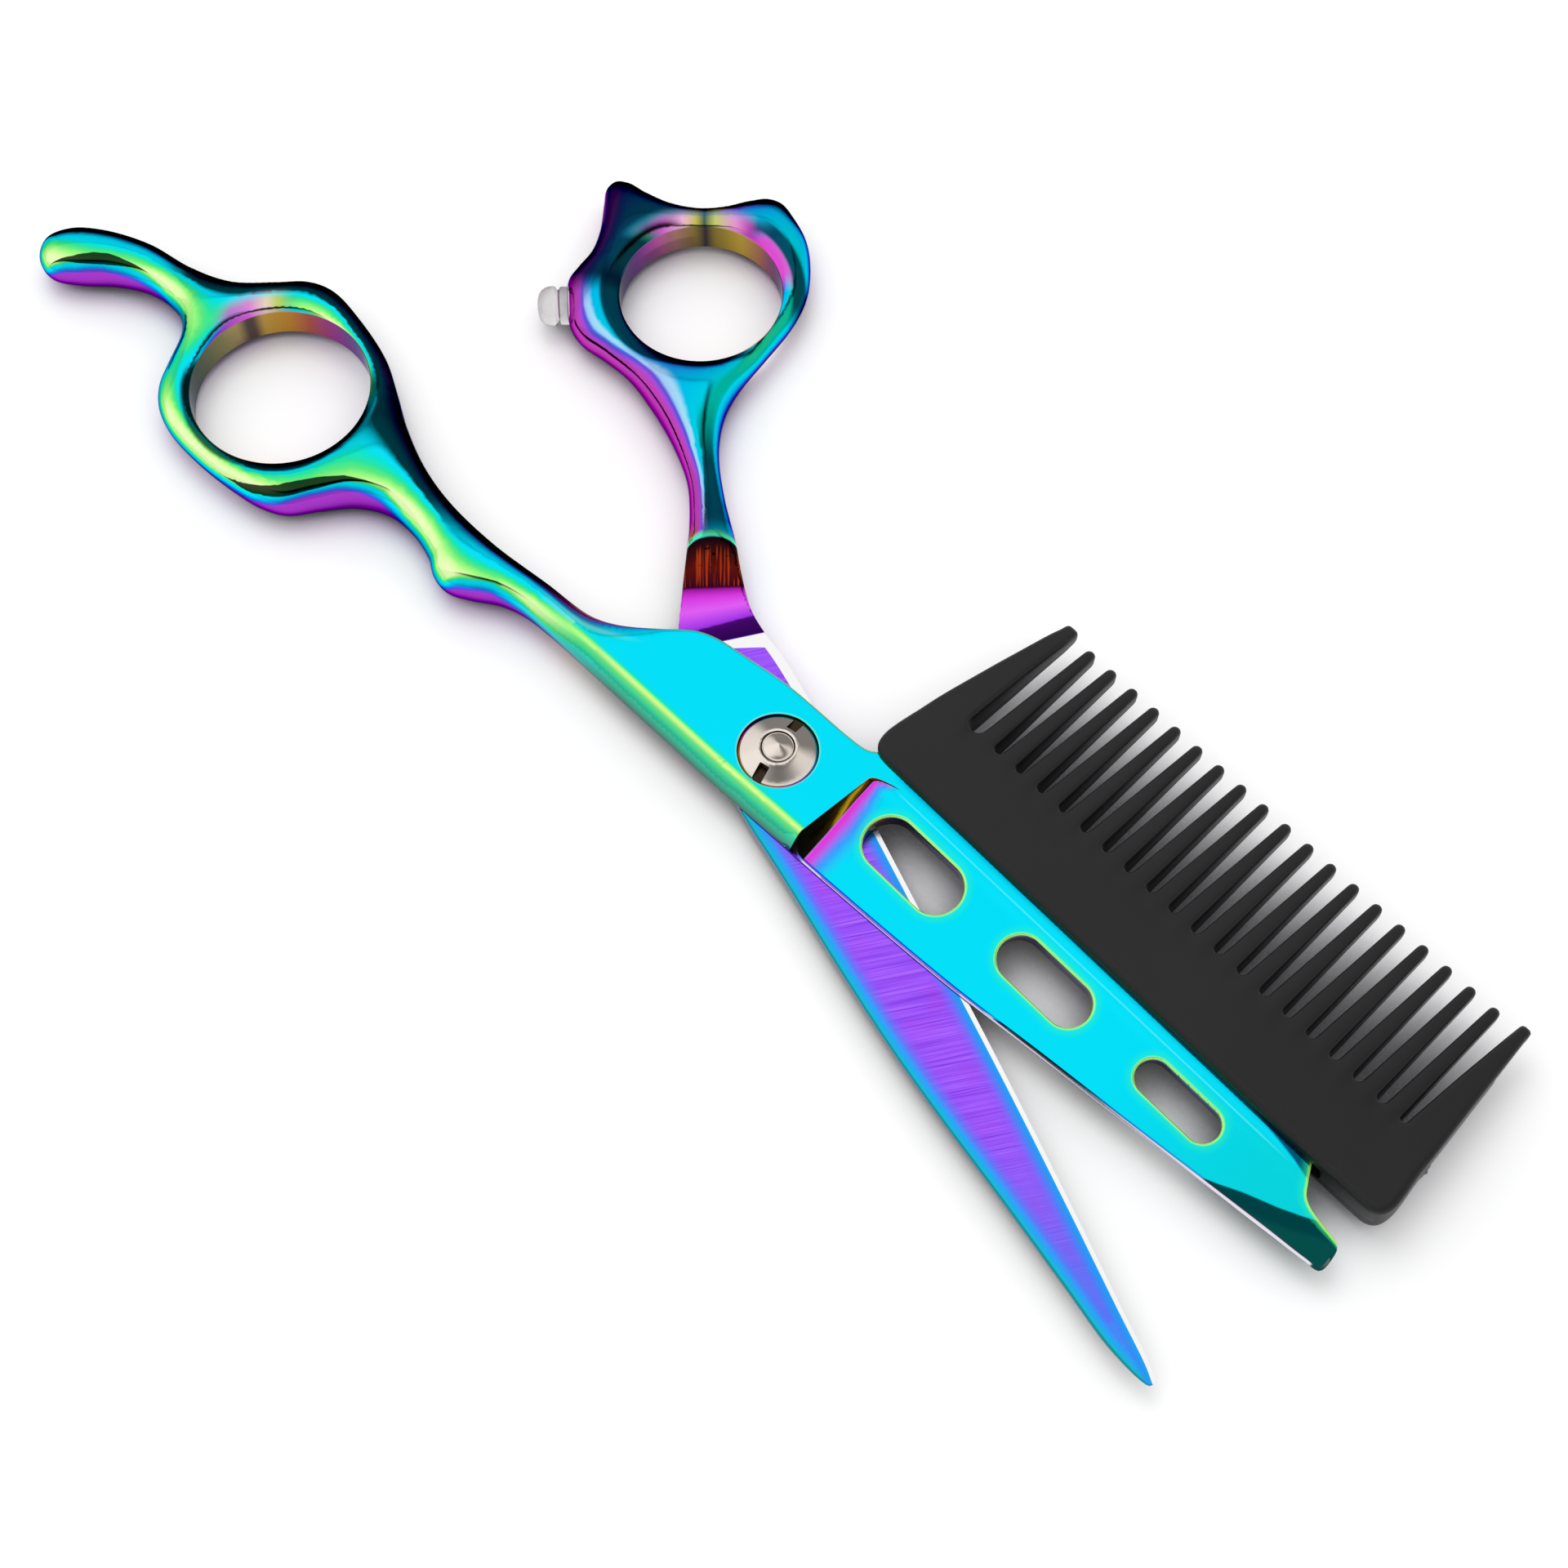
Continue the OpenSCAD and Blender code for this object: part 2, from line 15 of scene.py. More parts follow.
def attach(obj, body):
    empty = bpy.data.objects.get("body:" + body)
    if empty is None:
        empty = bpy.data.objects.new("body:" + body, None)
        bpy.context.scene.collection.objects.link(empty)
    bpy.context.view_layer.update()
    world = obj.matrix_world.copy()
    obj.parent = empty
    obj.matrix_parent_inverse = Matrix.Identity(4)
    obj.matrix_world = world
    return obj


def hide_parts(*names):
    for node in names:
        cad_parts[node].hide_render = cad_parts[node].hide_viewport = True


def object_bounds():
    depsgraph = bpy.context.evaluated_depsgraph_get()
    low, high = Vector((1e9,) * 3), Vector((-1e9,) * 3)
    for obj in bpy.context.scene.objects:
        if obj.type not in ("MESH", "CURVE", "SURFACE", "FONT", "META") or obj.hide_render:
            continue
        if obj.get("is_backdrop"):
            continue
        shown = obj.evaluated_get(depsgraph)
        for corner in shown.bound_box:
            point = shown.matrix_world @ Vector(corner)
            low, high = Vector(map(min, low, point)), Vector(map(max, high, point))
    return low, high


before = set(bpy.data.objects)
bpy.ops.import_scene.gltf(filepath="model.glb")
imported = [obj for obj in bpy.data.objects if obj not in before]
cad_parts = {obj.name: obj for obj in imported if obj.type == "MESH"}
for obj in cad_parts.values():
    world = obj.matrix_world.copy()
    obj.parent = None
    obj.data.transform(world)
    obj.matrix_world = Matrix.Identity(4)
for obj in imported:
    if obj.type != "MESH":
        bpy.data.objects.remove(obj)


def plain(value):
    """Copy of a value made of JSON types only."""
    if isinstance(value, dict):
        return {str(key): plain(item) for key, item in value.items()}
    if hasattr(value, "__iter__") and not isinstance(value, str):
        return [plain(item) for item in value]
    return float(value) if isinstance(value, (int, float, np.floating)) else str(value)


size_note = {"cad": plain(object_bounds())}

MM = 0.001
OPEN = math.radians(16.3)            # angle between the halves
GAP = 0.05                           # each half's distance from z = 0
FINGER_RING, FINGER_R = (-81.0, -10.0), 11.4
THUMB_RING, THUMB_R = (-63.6, 21.4), 10.5     # with the halves closed
PIVOT_HOLE_R = 4.825
BLOCK_TOP = 3.2                      # flat top of the upper half

# Directions seen from the camera
FAR = Vector((-0.7262, 0.6875, 0.0))          # along the floor, away from the camera
RIGHT = Vector((FAR.y, -FAR.x, 0.0))
UP = Vector((0, 0, 1))
TO_CAMERA = Vector((0.3183, -0.3014, 0.8988))

# ------------------------------------------------------------------ curves and distances


def resample(points, step, closed=True):
    points = np.asarray(points, float)
    if closed:
        points = np.concatenate([points, points[:1]])
    lengths = np.linalg.norm(np.diff(points, axis=0), axis=1)
    travel = np.concatenate([[0], np.cumsum(lengths)])
    count = max(int(round(travel[-1] / step)), 8)
    stops = np.linspace(0, travel[-1], count + 1)
    out = np.stack([np.interp(stops, travel, points[:, axis]) for axis in range(2)], 1)
    return out[:-1] if closed else out


def smooth_curve(points, step, closed=True):
    """Centripetal Catmull-Rom curve through the points, resampled at an even step."""
    points = np.asarray(points, float)
    count = len(points)
    pieces = []
    for i in range(count if closed else count - 1):
        start, end = points[i], points[(i + 1) % count]
        before = points[i - 1] if closed or i > 0 else 2 * start - end
        after = points[(i + 2) % count] if closed or i + 2 < count else 2 * end - start
        row = [before, start, end, after]
        knots = [0.0]
        for a, b in zip(row, row[1:]):
            knots.append(knots[-1] + max(np.linalg.norm(b - a), 1e-6) ** 0.5)
        t = np.linspace(knots[1], knots[2], 24, endpoint=False)[:, None]

        def blend(a, b, low, high):
            return (high - t) / (high - low) * a + (t - low) / (high - low) * b

        for span in (1, 2):
            row = [blend(row[j], row[j + 1], knots[j], knots[j + span])
                   for j in range(len(row) - 1)]
        pieces.append(blend(row[0], row[1], knots[1], knots[2]))
    if not closed:
        pieces.append(points[-1:])
    return resample(np.concatenate(pieces), step, closed)


def circle(centre, radius, step):
    count = int(max(24, round(2 * math.pi * radius / step)))
    angle = np.linspace(0, 2 * math.pi, count, endpoint=False)
    return np.stack([centre[0] + radius * np.cos(angle), centre[1] + radius * np.sin(angle)], 1)


def obround(x, y, length, radius, step):
    """Slot along X; (x, y) is the centre of its -X end."""
    angle = np.linspace(-math.pi / 2, math.pi / 2, max(10, int(math.pi * radius / step)))
    dx, dy = radius * np.cos(angle), radius * np.sin(angle)
    ends = [np.stack([x + length + dx, y + dy], 1), np.stack([x - dx, y - dy], 1)]
    return resample(np.concatenate(ends), step)


def arc(centre, radius, start, end, count=9):
    angles = np.radians(np.linspace(start, end, count))
    return [(centre[0] + radius * math.cos(a), centre[1] + radius * math.sin(a)) for a in angles]


def signed_area(loop):
    x, y = loop[:, 0], loop[:, 1]
    return 0.5 * float(np.sum(x * np.roll(y, -1) - y * np.roll(x, -1)))


def cross(a, b):
    return a[:, 0] * b[:, 1] - a[:, 1] * b[:, 0]


def unit(vectors):
    return vectors / np.maximum(np.linalg.norm(vectors, axis=1), 1e-9)[:, None]


def tangents(loop):
    return unit(np.roll(loop, -1, 0) - np.roll(loop, 1, 0))


def ease(start, end, x):
    """Smooth step: 0 at start, 1 at end; start may be the larger."""
    t = np.clip((x - start) / (end - start), 0, 1)
    return t * t * (3 - 2 * t)


def turn(points, angle):
    """Turn points about Z."""
    c, s = math.cos(angle), math.sin(angle)
    out = np.asarray(points, float).copy()
    x, y = out[:, 0].copy(), out[:, 1].copy()
    out[:, 0] = x * c - y * s
    out[:, 1] = x * s + y * c
    return out


def segment_distance(points, starts, ends):
    """Distance from each point to the nearest of the segments."""
    spans = ends - starts
    squares = np.maximum((spans ** 2).sum(1), 1e-12)
    out = np.full(len(points), 1e9)
    for first in range(0, len(points), 1500):
        away = points[first:first + 1500][:, None, :] - starts[None]
        t = np.clip((away * spans[None]).sum(2) / squares[None], 0, 1)
        rest = away - t[..., None] * spans[None]
        out[first:first + 1500] = np.sqrt((rest ** 2).sum(2).min(1))
    return out


def loop_distance(points, loop):
    return segment_distance(points, loop, np.roll(loop, -1, 0))


def edge_distance(x, y, edge, x_min):
    """Distance to an open curve for points past x_min; far off elsewhere."""
    out = np.full(len(x), 1e9)
    past = x > x_min
    out[past] = segment_distance(np.stack([x, y], 1)[past], edge[:-1], edge[1:])
    return out


def inside(points, loop):
    start, end = loop, np.roll(loop, -1, 0)
    rise = end[:, 1] - start[:, 1]
    rise = np.where(np.abs(rise) < 1e-12, 1e-12, rise)
    run = end[:, 0] - start[:, 0]
    out = np.zeros(len(points), bool)
    for first in range(0, len(points), 3000):
        some = points[first:first + 3000]
        y = some[:, 1][:, None]
        crossed = (start[:, 1][None] > y) != (end[:, 1][None] > y)
        cross_x = start[:, 0][None] + (y - start[:, 1][None]) / rise[None] * run[None]
        hits = np.sum(crossed & (some[:, 0][:, None] < cross_x), 1)
        out[first:first + 3000] = (hits % 2) == 1
    return out


def within(points, loops):
    """True inside the first loop and outside the others."""
    ok = inside(points, loops[0])
    for hole in loops[1:]:
        ok &= ~inside(points, hole)
    return ok


def nearest_rim(points, loops):
    return np.min([loop_distance(points, loop) for loop in loops], axis=0)


# ------------------------------------------------------------------ sheets


def half_way(loop_index, rim, top, bottom):
    """Plain wall with one row of points half way down."""
    return [(rim, top + (bottom - top) * 0.5)]


class Sheet:
    """A plate-like body: top and bottom height fields over one outline with holes."""

    def __init__(self, outer, holes, offsets, grid, extra):
        """offsets are rows of points along the rims; extra points follow the relief."""
        loops = [outer if signed_area(outer) >= 0 else outer[::-1]]
        loops += [hole if signed_area(hole) < 0 else hole[::-1] for hole in holes]
        edges, first = [], 0
        for loop in loops:
            count = len(loop)
            edges += [(first + i, first + (i + 1) % count) for i in range(count)]
            first += count
        rim_count = first

        rows = []
        for loop in loops:
            along = tangents(loop)
            inward = np.stack([-along[:, 1], along[:, 0]], 1)
            for i, offset in enumerate(offsets):
                every = 1 if offset < 0.8 else 2
                picked = slice(i % every, None, every)
                row = loop[picked] + inward[picked] * offset
                rows.append(row[nearest_rim(row, loops) > 0.93 * offset])
        low, high = loops[0].min(0), loops[0].max(0)
        grid_x, grid_y = np.meshgrid(np.arange(low[0], high[0], grid),
                                     np.arange(low[1], high[1], grid * 0.866))
        grid_x[1::2] += grid / 2
        lattice = np.stack([grid_x.ravel(), grid_y.ravel()], 1)
        lattice = lattice[within(lattice, loops)]
        lattice = lattice[nearest_rim(lattice, loops) > offsets[-1] + grid * 0.4]
        extra = extra[within(extra, loops)]
        extra = extra[nearest_rim(extra, loops) > 0.08]
        inner = self.thin_out(np.concatenate([extra] + rows + [lattice]))

        points = [Vector((float(x), float(y))) for x, y in np.concatenate(loops + [inner])]
        verts, _, faces, sources, _, _ = delaunay_2d_cdt(points, edges, [], 0, 1e-6)
        self.points = np.array([[p.x, p.y] for p in verts])
        triangles = np.array([list(face) for face in faces if len(face) == 3], int)
        triangles = triangles[within(self.points[triangles].mean(1), loops)]
        i, j, k = triangles.T
        double_area = cross(self.points[j] - self.points[i], self.points[k] - self.points[i])
        triangles[double_area < 0] = triangles[double_area < 0][:, ::-1]
        self.triangles = triangles[np.abs(double_area) > 1e-9]

        rim_index = {}
        for i, source in enumerate(sources):
            for k in source:
                if k < rim_count:
                    rim_index[k] = i
        self.borders, first = [], 0
        for loop in loops:
            self.borders.append(np.array([rim_index[first + i] for i in range(len(loop))]))
            first += len(loop)
        self.rim = [loop_distance(self.points, loop) for loop in loops]
        for distance, border in zip(self.rim, self.borders):
            distance[border] = 0.0
        i, j, k = self.triangles.T
        ahead, behind = np.concatenate([i, j, k]), np.concatenate([j, k, i])
        self.here = np.concatenate([ahead, behind])
        self.there = np.concatenate([behind, ahead])

    @staticmethod
    def thin_out(points, cell=0.07):
        """Keep the first point of each square cell."""
        seen, keep = set(), []
        for i, (x, y) in enumerate(points):
            key = (int(math.floor(x / cell)), int(math.floor(y / cell)))
            if key not in seen:
                seen.add(key)
                keep.append(i)
        return points[keep]

    def gather(self, values):
        """Sum over each point's neighbours of values given per neighbour link."""
        return np.bincount(self.here, weights=values, minlength=len(self.points))

    def soften(self, values, weight, times, pace=0.6):
        """Draw values toward the mean of their neighbours."""
        degree = np.maximum(np.bincount(self.here, minlength=len(self.points)), 1)
        for _ in range(times):
            mean = self.gather(values[self.there]) / degree
            values = values + weight * pace * (mean - values)
        return values

    def swell(self, heights):
        """Film blown up over the outline, held at the given height on each border.

        Solves laplacian(dome) = -1; leaves dome and dome_slope on the sheet.
        """
        points, triangles, count = self.points, self.triangles, len(self.points)
        i, j, k = triangles.T

        def cotangent(a, b, c):
            p, q = points[b] - points[a], points[c] - points[a]
            return (p * q).sum(1) / np.maximum(np.abs(cross(p, q)), 1e-9)

        at_i, at_j, at_k = cotangent(i, j, k), cotangent(j, k, i), cotangent(k, i, j)
        rows = np.concatenate([j, k, k, i, i, j])
        columns = np.concatenate([k, j, i, k, j, i])
        links = np.clip(0.5 * np.concatenate([at_i, at_i, at_j, at_j, at_k, at_k]), 0.01, 120)
        side_1, side_2 = points[j] - points[i], points[k] - points[i]
        area = 0.5 * np.abs(cross(side_1, side_2))

        def to_points(values):
            return np.bincount(triangles.ravel(), weights=np.repeat(values, 3), minlength=count)

        free = np.ones(count, bool)
        dome = np.zeros(count)
        for border, height in zip(self.borders, heights):
            free[border] = False
            dome[border] = height
        diagonal = np.maximum(np.bincount(rows, weights=links, minlength=count), 1e-9)

        def apply(v):
            return diagonal * v - np.bincount(rows, weights=links * v[columns], minlength=count)

        # conjugate gradients with a diagonal preconditioner
        residual = (to_points(area / 3) - apply(dome)) * free
        scaled = residual / diagonal
        heading = scaled.copy()
        size = float(residual @ scaled)
        first_size = size
        for _ in range(900):
            applied = apply(heading) * free
            stride = size / float(heading @ applied)
            dome = dome + stride * heading
            residual = residual - stride * applied
            scaled = residual / diagonal
            new_size = float(residual @ scaled)
            if new_size < 1e-12 * first_size:
                break
            heading = scaled + (new_size / size) * heading
            size = new_size
        dome = np.maximum(dome, 0)

        # near the outline the film is about proportional to distance: smooth that ratio
        distance = self.rim[0]
        ratio = dome / np.maximum(distance, 0.03)
        on_rim = distance < 0.03
        off_rim = (~on_rim[self.there]).astype(float)
        off_count = np.maximum(self.gather(off_rim), 1)
        for _ in range(3):
            ratio = np.where(on_rim, self.gather(ratio[self.there] * off_rim) / off_count, ratio)
        ratio = self.soften(ratio, ease(2.2, 0.6, distance), 8)
        self.dome = np.where(distance < 2.2, ratio * distance, dome)

        # slope of the film, averaged from the triangles to the points
        det = cross(side_1, side_2)
        det = np.where(np.abs(det) < 1e-9, 1e-9, det)
        rise_1, rise_2 = self.dome[j] - self.dome[i], self.dome[k] - self.dome[i]
        slopes = ((rise_1 * side_2[:, 1] - rise_2 * side_1[:, 1]) / det,
                  (rise_2 * side_1[:, 0] - rise_1 * side_2[:, 0]) / det)
        total = np.maximum(to_points(area), 1e-12)
        self.dome_slope = np.stack(
            [self.soften(to_points(slope * area) / total, 1.0, 2, pace=0.35)
             for slope in slopes], 1)

    def build(self, top, bottom, wall=half_way):
        """wall(loop index, rim xy, top z, bottom z) gives (xy, z) rows from top to bottom."""
        count = len(self.points)
        verts = [np.column_stack([self.points, top]), np.column_stack([self.points, bottom])]
        faces = [list(map(int, triangle)) for triangle in self.triangles]
        faces += [[int(a) + count, int(c) + count, int(b) + count] for a, b, c in self.triangles]
        self.total = 2 * count
        self.walls = []              # range of wall vertices of each loop
        for loop_index, border in enumerate(self.borders):
            size, first = len(border), self.total
            chain = [border]
            rim = self.points[border]
            for xy, z in wall(loop_index, rim, top[border], bottom[border]):
                verts.append(np.column_stack([xy, z]))
                chain.append(np.arange(self.total, self.total + size))
                self.total += size
            chain.append(border + count)
            self.walls.append(slice(first, self.total))
            for upper_row, lower_row in zip(chain, chain[1:]):
                for i in range(size):
                    k = (i + 1) % size
                    faces.append([int(upper_row[i]), int(lower_row[i]),
                                  int(lower_row[k]), int(upper_row[k])])
        return np.concatenate(verts), faces

    def on_top(self, values, elsewhere):
        """Per-vertex field with values on the top face."""
        out = np.full(self.total, float(elsewhere))
        out[:len(self.points)] = values
        return out

    def throughout(self, values):
        """Per-vertex field with the same values on top, bottom and walls."""
        sides = [np.resize(values[border], span.stop - span.start)
                 for border, span in zip(self.borders, self.walls)]
        return np.concatenate([values, values] + sides)


# ------------------------------------------------------------------ objects


def make(name, verts, faces, sharp, attributes=None):
    """Smooth-shaded object from mm; edges steeper than sharp degrees stay sharp."""
    mesh = bpy.data.meshes.new(name)
    mesh.from_pydata([tuple(map(float, v)) for v in np.asarray(verts) * MM], [], faces)
    mesh.validate()
    mesh.update()
    for key, values in (attributes or {}).items():
        values = np.asarray(values, dtype=np.float32)
        is_colour = values.ndim == 2
        kind, field = ("FLOAT_COLOR", "color") if is_colour else ("FLOAT", "value")
        mesh.attributes.new(key, kind, "POINT").data.foreach_set(field, values.ravel())
    mesh.shade_smooth()
    mesh.set_sharp_from_angle(angle=math.radians(sharp))
    piece = bpy.data.objects.new(name, mesh)
    bpy.context.scene.collection.objects.link(piece)
    return piece


def mount(piece, rider, replaced):
    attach(piece, rider)
    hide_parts(replaced)


def linear(colour):
    """sRGB colour to linear light."""
    return [c / 12.92 if c <= 0.04045 else ((c + 0.055) / 1.055) ** 2.4 for c in colour]


def lay_paint(paint, colour, cover):
    """Lay a colour over RGBA rows in place; alpha is how much the paint covers."""
    cover = np.clip(cover, 0, 1)[:, None]
    alpha = paint[:, 3:4]
    new = alpha + cover * (1 - alpha)
    blended = ((paint[:, :3] * alpha * (1 - cover) + np.array(linear(colour)) * cover)
               / np.maximum(alpha * (1 - cover) + cover, 1e-6))
    paint[:, :3] = np.where(new > 1e-6, blended, paint[:, :3])
    paint[:, 3:4] = new


def swollen(dome, limit):
    """Rounded height over the film that levels off toward limit."""
    height = 1.03 * np.sqrt(2 * dome + 0.22 * 0.22)
    return (height ** -3.2 + limit ** -3.2) ** (-1 / 3.2)


def handle_top(dome):
    return swollen(dome, 4.5)


def handle_bottom(dome):
    return swollen(dome, 4.1)


def round_drop(distance, radius):
    """Fall of a rounded edge at a distance from the outline."""
    radius = np.maximum(radius, 1e-4)
    u = np.clip(1 - distance / radius, 0, 1)
    return radius * (1 - np.sqrt(np.maximum(1 - u * u, 0)))


def even_normals(mesh, normals, weight, times):
    edges = np.empty(len(mesh.edges) * 2, np.int32)
    mesh.edges.foreach_get("vertices", edges)
    edges = edges.reshape(-1, 2)
    here = np.concatenate([edges[:, 0], edges[:, 1]])
    there = np.concatenate([edges[:, 1], edges[:, 0]])
    count = len(normals)
    degree = np.maximum(np.bincount(here, minlength=count), 1)
    weight = weight[:, None]
    for _ in range(times):
        mean = np.stack([np.bincount(here, weights=normals[there, axis], minlength=count)
                         for axis in range(3)], 1) / degree[:, None]
        normals = unit(normals * (1 - 0.6 * weight) + mean * 0.6 * weight)
    return normals


def set_normals(piece, sheet, handle, bevel=None):
    """Shading normals: exact on the swollen handle, evened out on the bevel."""
    mesh = piece.data
    total, count = len(mesh.vertices), len(sheet.points)
    normals = np.empty(total * 3, np.float32)
    mesh.vertices.foreach_get("normal", normals)
    normals = normals.reshape(-1, 3).astype(float)
    weight = np.zeros(total)
    if bevel is not None:
        outer = sheet.rim[0]
        weight[:count] = bevel * ease(1.75, 1.5, outer) * ease(0.02, 0.1, outer)
        normals = even_normals(mesh, normals, weight, 9)

    share = np.clip((handle - 0.3) / 0.5, 0, 1)
    h = 1e-3                         # half step of the height derivative
    for i, (height, sign) in enumerate([(handle_top, 1.0), (handle_bottom, -1.0)]):
        climb = height(sheet.dome + h) - height(np.maximum(sheet.dome - h, 0))
        climb = climb / (h + np.minimum(sheet.dome, h))
        exact = unit(np.column_stack([-climb[:, None] * sheet.dome_slope,
                                      np.full(count, sign)]))
        face = slice(i * count, (i + 1) * count)
        normals[face] = normals[face] * (1 - share[:, None]) + exact * share[:, None]
        weight[face] = np.maximum(weight[face], share)
    border, wall = sheet.borders[0], sheet.walls[0]
    rows = (wall.stop - wall.start) // len(border)
    outward = np.column_stack([-unit(sheet.dome_slope[border]), np.zeros(len(border))])
    normals[wall] = np.tile(outward, (rows, 1))
    weight[wall] = np.tile(share[border], rows)
    normals = unit(normals)

    corners = np.empty(len(mesh.loops), np.int32)
    mesh.loops.foreach_get("vertex_index", corners)
    use = weight[corners] > 0.02
    # walls of the holes keep their own normals
    use[6 * len(sheet.triangles) + 4 * len(border) * (rows + 1):] = False
    chosen = np.where(use[:, None], normals[corners], 0.0)
    mesh.normals_split_custom_set([tuple(normal) for normal in chosen])


# ------------------------------------------------------------------ outlines of the halves

# (x, y) round the upper half, clockwise from its blade tip; points 3 to 10 are the cutting edge
UPPER_OUTLINE = [
    (85.2, 3.35), (85.75, 1.8), (85.6, 0.25), (83.5, -0.15), (79, -0.65), (70.5, -1.6),
    (58.5, -2.95), (47, -4.15), (35.5, -5.45), (24, -6.3), (12.1, -6.95), (6, -7.2), (-4, -7.7),
    (-14, -7.95), (-24.4, -8.2), (-31.3, -8.35), (-35.8, -8.75), (-39.3, -9.9), (-42.4, -12.0),
    (-45, -13.4), (-47.6, -13.2), (-50, -12.0), (-54.2, -11.1), (-58.9, -11.5), (-62.4, -13.6),
    (-65, -17.2), (-67.2, -20.6), (-70, -22.3), (-74, -23.3), (-80, -24.0), (-86.5, -23.8),
    (-90.2, -22.6), (-92.7, -20.6), (-94.6, -17.6), (-96.9, -13.7), (-99.2, -12.1),
    (-102.5, -11.7), (-106.2, -12.6), (-109.9, -14.9), (-113.2, -18.1), (-116.2, -20.2),
    (-119.3, -19.6), (-121, -17.2), (-119.9, -13.9), (-116.6, -10.9), (-110.6, -7.8),
    (-103.8, -6.2), (-98.4, -3.9), (-94.6, 0.2), (-91.8, 3.4), (-88.6, 4.8), (-83, 4.5),
    (-76, 3.0), (-71, 0.7), (-66.2, -1.7), (-60, -3.95), (-53.8, -5.0), (-45.4, -5.0),
    (-36.8, -3.9), (-29.1, -3.3), (-25.7, -1.9), (-22, 0.9), (-18.4, 4.1), (-15.8, 5.2),
    (-12.6, 5.8), (-5.5, 6.95), (-0.8, 7.2), (4.5, 7.4), (7.2, 7.8), (8.6, 8.8), (9.6, 9.55),
    (12, 9.6), (30, 9.6), (50, 9.6), (70, 9.6), (75, 9.55), (76.4, 9.0), (77.2, 7.9),
    (78.2, 6.3), (79.2, 4.95), (80.4, 4.35), (82.2, 4.0)]
UPPER_EDGE = UPPER_OUTLINE[10:2:-1]

# (x, y) round the closed lower half, counter-clockwise from its blade tip
LOWER_OUTLINE = [
    (83.4, 0.9), (84.5, 1.5), (84.4, 2.3), (82.5, 2.7), (75.5, 3.15), (63.7, 3.95), (47.4, 4.9),
    (34, 5.5), (20, 6.1), (8, 6.6), (-4.7, 7.15), (-12.6, 7.05), (-16.2, 6.6), (-19.7, 6.55),
    (-24.9, 7.7), (-30.4, 9.4), (-35.4, 10.7), (-40.8, 12.6), (-44.2, 14.5), (-47, 16.8),
    (-49.2, 19.6), (-52, 24.9), (-54.9, 30.2), (-57.9, 33.8), (-61.9, 36.4), (-65.7, 37.8),
    (-69.5, 38.0), (-72.3, 37.7), (-73.8, 36.4), (-74.6, 33.9), (-75.3, 30.6), (-76.8, 27.3),
    (-79, 24.5), (-81.8, 22.6), (-84.6, 21.3), (-85.8, 19.8), (-85.3, 18.2), (-83.2, 16.8),
    (-79.3, 14.3), (-76.7, 11.8), (-75.3, 9.2), (-74.2, 7.4), (-72.3, 6.4), (-69.9, 5.3),
    (-67.4, 4.6), (-64.9, 4.9), (-61.9, 6.3), (-57.4, 7.9), (-52.4, 8.5), (-47.8, 8.6),
    (-43.6, 8.3), (-39.8, 7.6), (-36.1, 6.1), (-31, 3.3), (-26.8, 0.6), (-22.4, -2.1),
    (-18.6, -4.1), (-13, -5.9), (-6, -6.8), (0, -6.9), (6, -6.7), (12.9, -6.3), (26.8, -5.75),
    (37.4, -5.1), (47.1, -4.1), (58.8, -2.6), (70.8, -1.2), (78.6, -0.3)]
LOWER_EDGE = [(-16, 6.7), (-12, 7.05), (-2, 7.1)] + LOWER_OUTLINE[9:2:-1] + [(84.5, 2.35)]

RIM_STEP = 0.42                      # spacing of points along outlines and ring holes
HALF_GRID = 0.6                      # spacing of points inside the halves
HALF_OFFSETS = [0.05, 0.16, 0.32, 0.58, 0.92, 1.36, 1.9, 2.5]
RIM_FILM = (0.0, 2.1)                # height of the film on the outline and the ring hole

# The ramp of the lower half climbs along its shank from here
RAMP_X, RAMP_Y = -17, 3
RAMP_DX, RAMP_DY = -0.906, 0.42


def ramp_travel(x, y):
    return (x - RAMP_X) * RAMP_DX + (y - RAMP_Y) * RAMP_DY


def ramp_rise(travel):
    return np.interp(travel, [0.5, 1.5, 2.6, 4.8, 7.0, 9.0, 11.0, 13.2, 15, 40],
                     [0, 0.05, 0.14, 0.34, 0.62, 1.12, 1.66, 2.3, 2.6, 2.7])


# ------------------------------------------------------------------ upper half

# -X end x, y, length between end centres, end radius
BLADE_SLOTS = [(17.4, 1.5, 7.6, 3.2), (37.9, 2.25, 7.6, 2.7), (58.1, 2.8, 7.6, 2.05)]
PIVOT_LOOP, FIRST_SLOT = 2, 3        # loop numbers in the upper sheet
SLOT_SHADE = (0.004, 0.006, 0.01, 0.93)      # linear RGB and cover
BORE_SHADE = (0.003, 0.01, 0.01, 0.93)


def step_width(y):
    """Width along X of the step between the block and the ground face."""
    return np.interp(y, [-7.2, -2.3, 2.4, 5.4, 7], [2.3, 1.65, 0.95, 0.6, 0.6])


def step_x(y):
    """Where the step starts."""
    return 9.36 + 0.053 * (y + 6.5) + 1.5 * np.clip((y - 5.2) / 1.1, 0, 2) ** 2


def spine_z(x):
    return BLOCK_TOP - 0.012 * np.clip(x - 8, 0, 100)


def grind(x, y):
    """Depth of the ground blade face below the land along the spine."""
    below = np.clip(6.3 - y, 0, 20)
    deep = 0.14 * ease(0, 1.4, below) + 0.18 * np.maximum(below - 0.5, 0)
    return deep * ease(0, 1.0, (x - step_x(y)) / step_width(y)) + 0.25 * ease(77, 84, x)


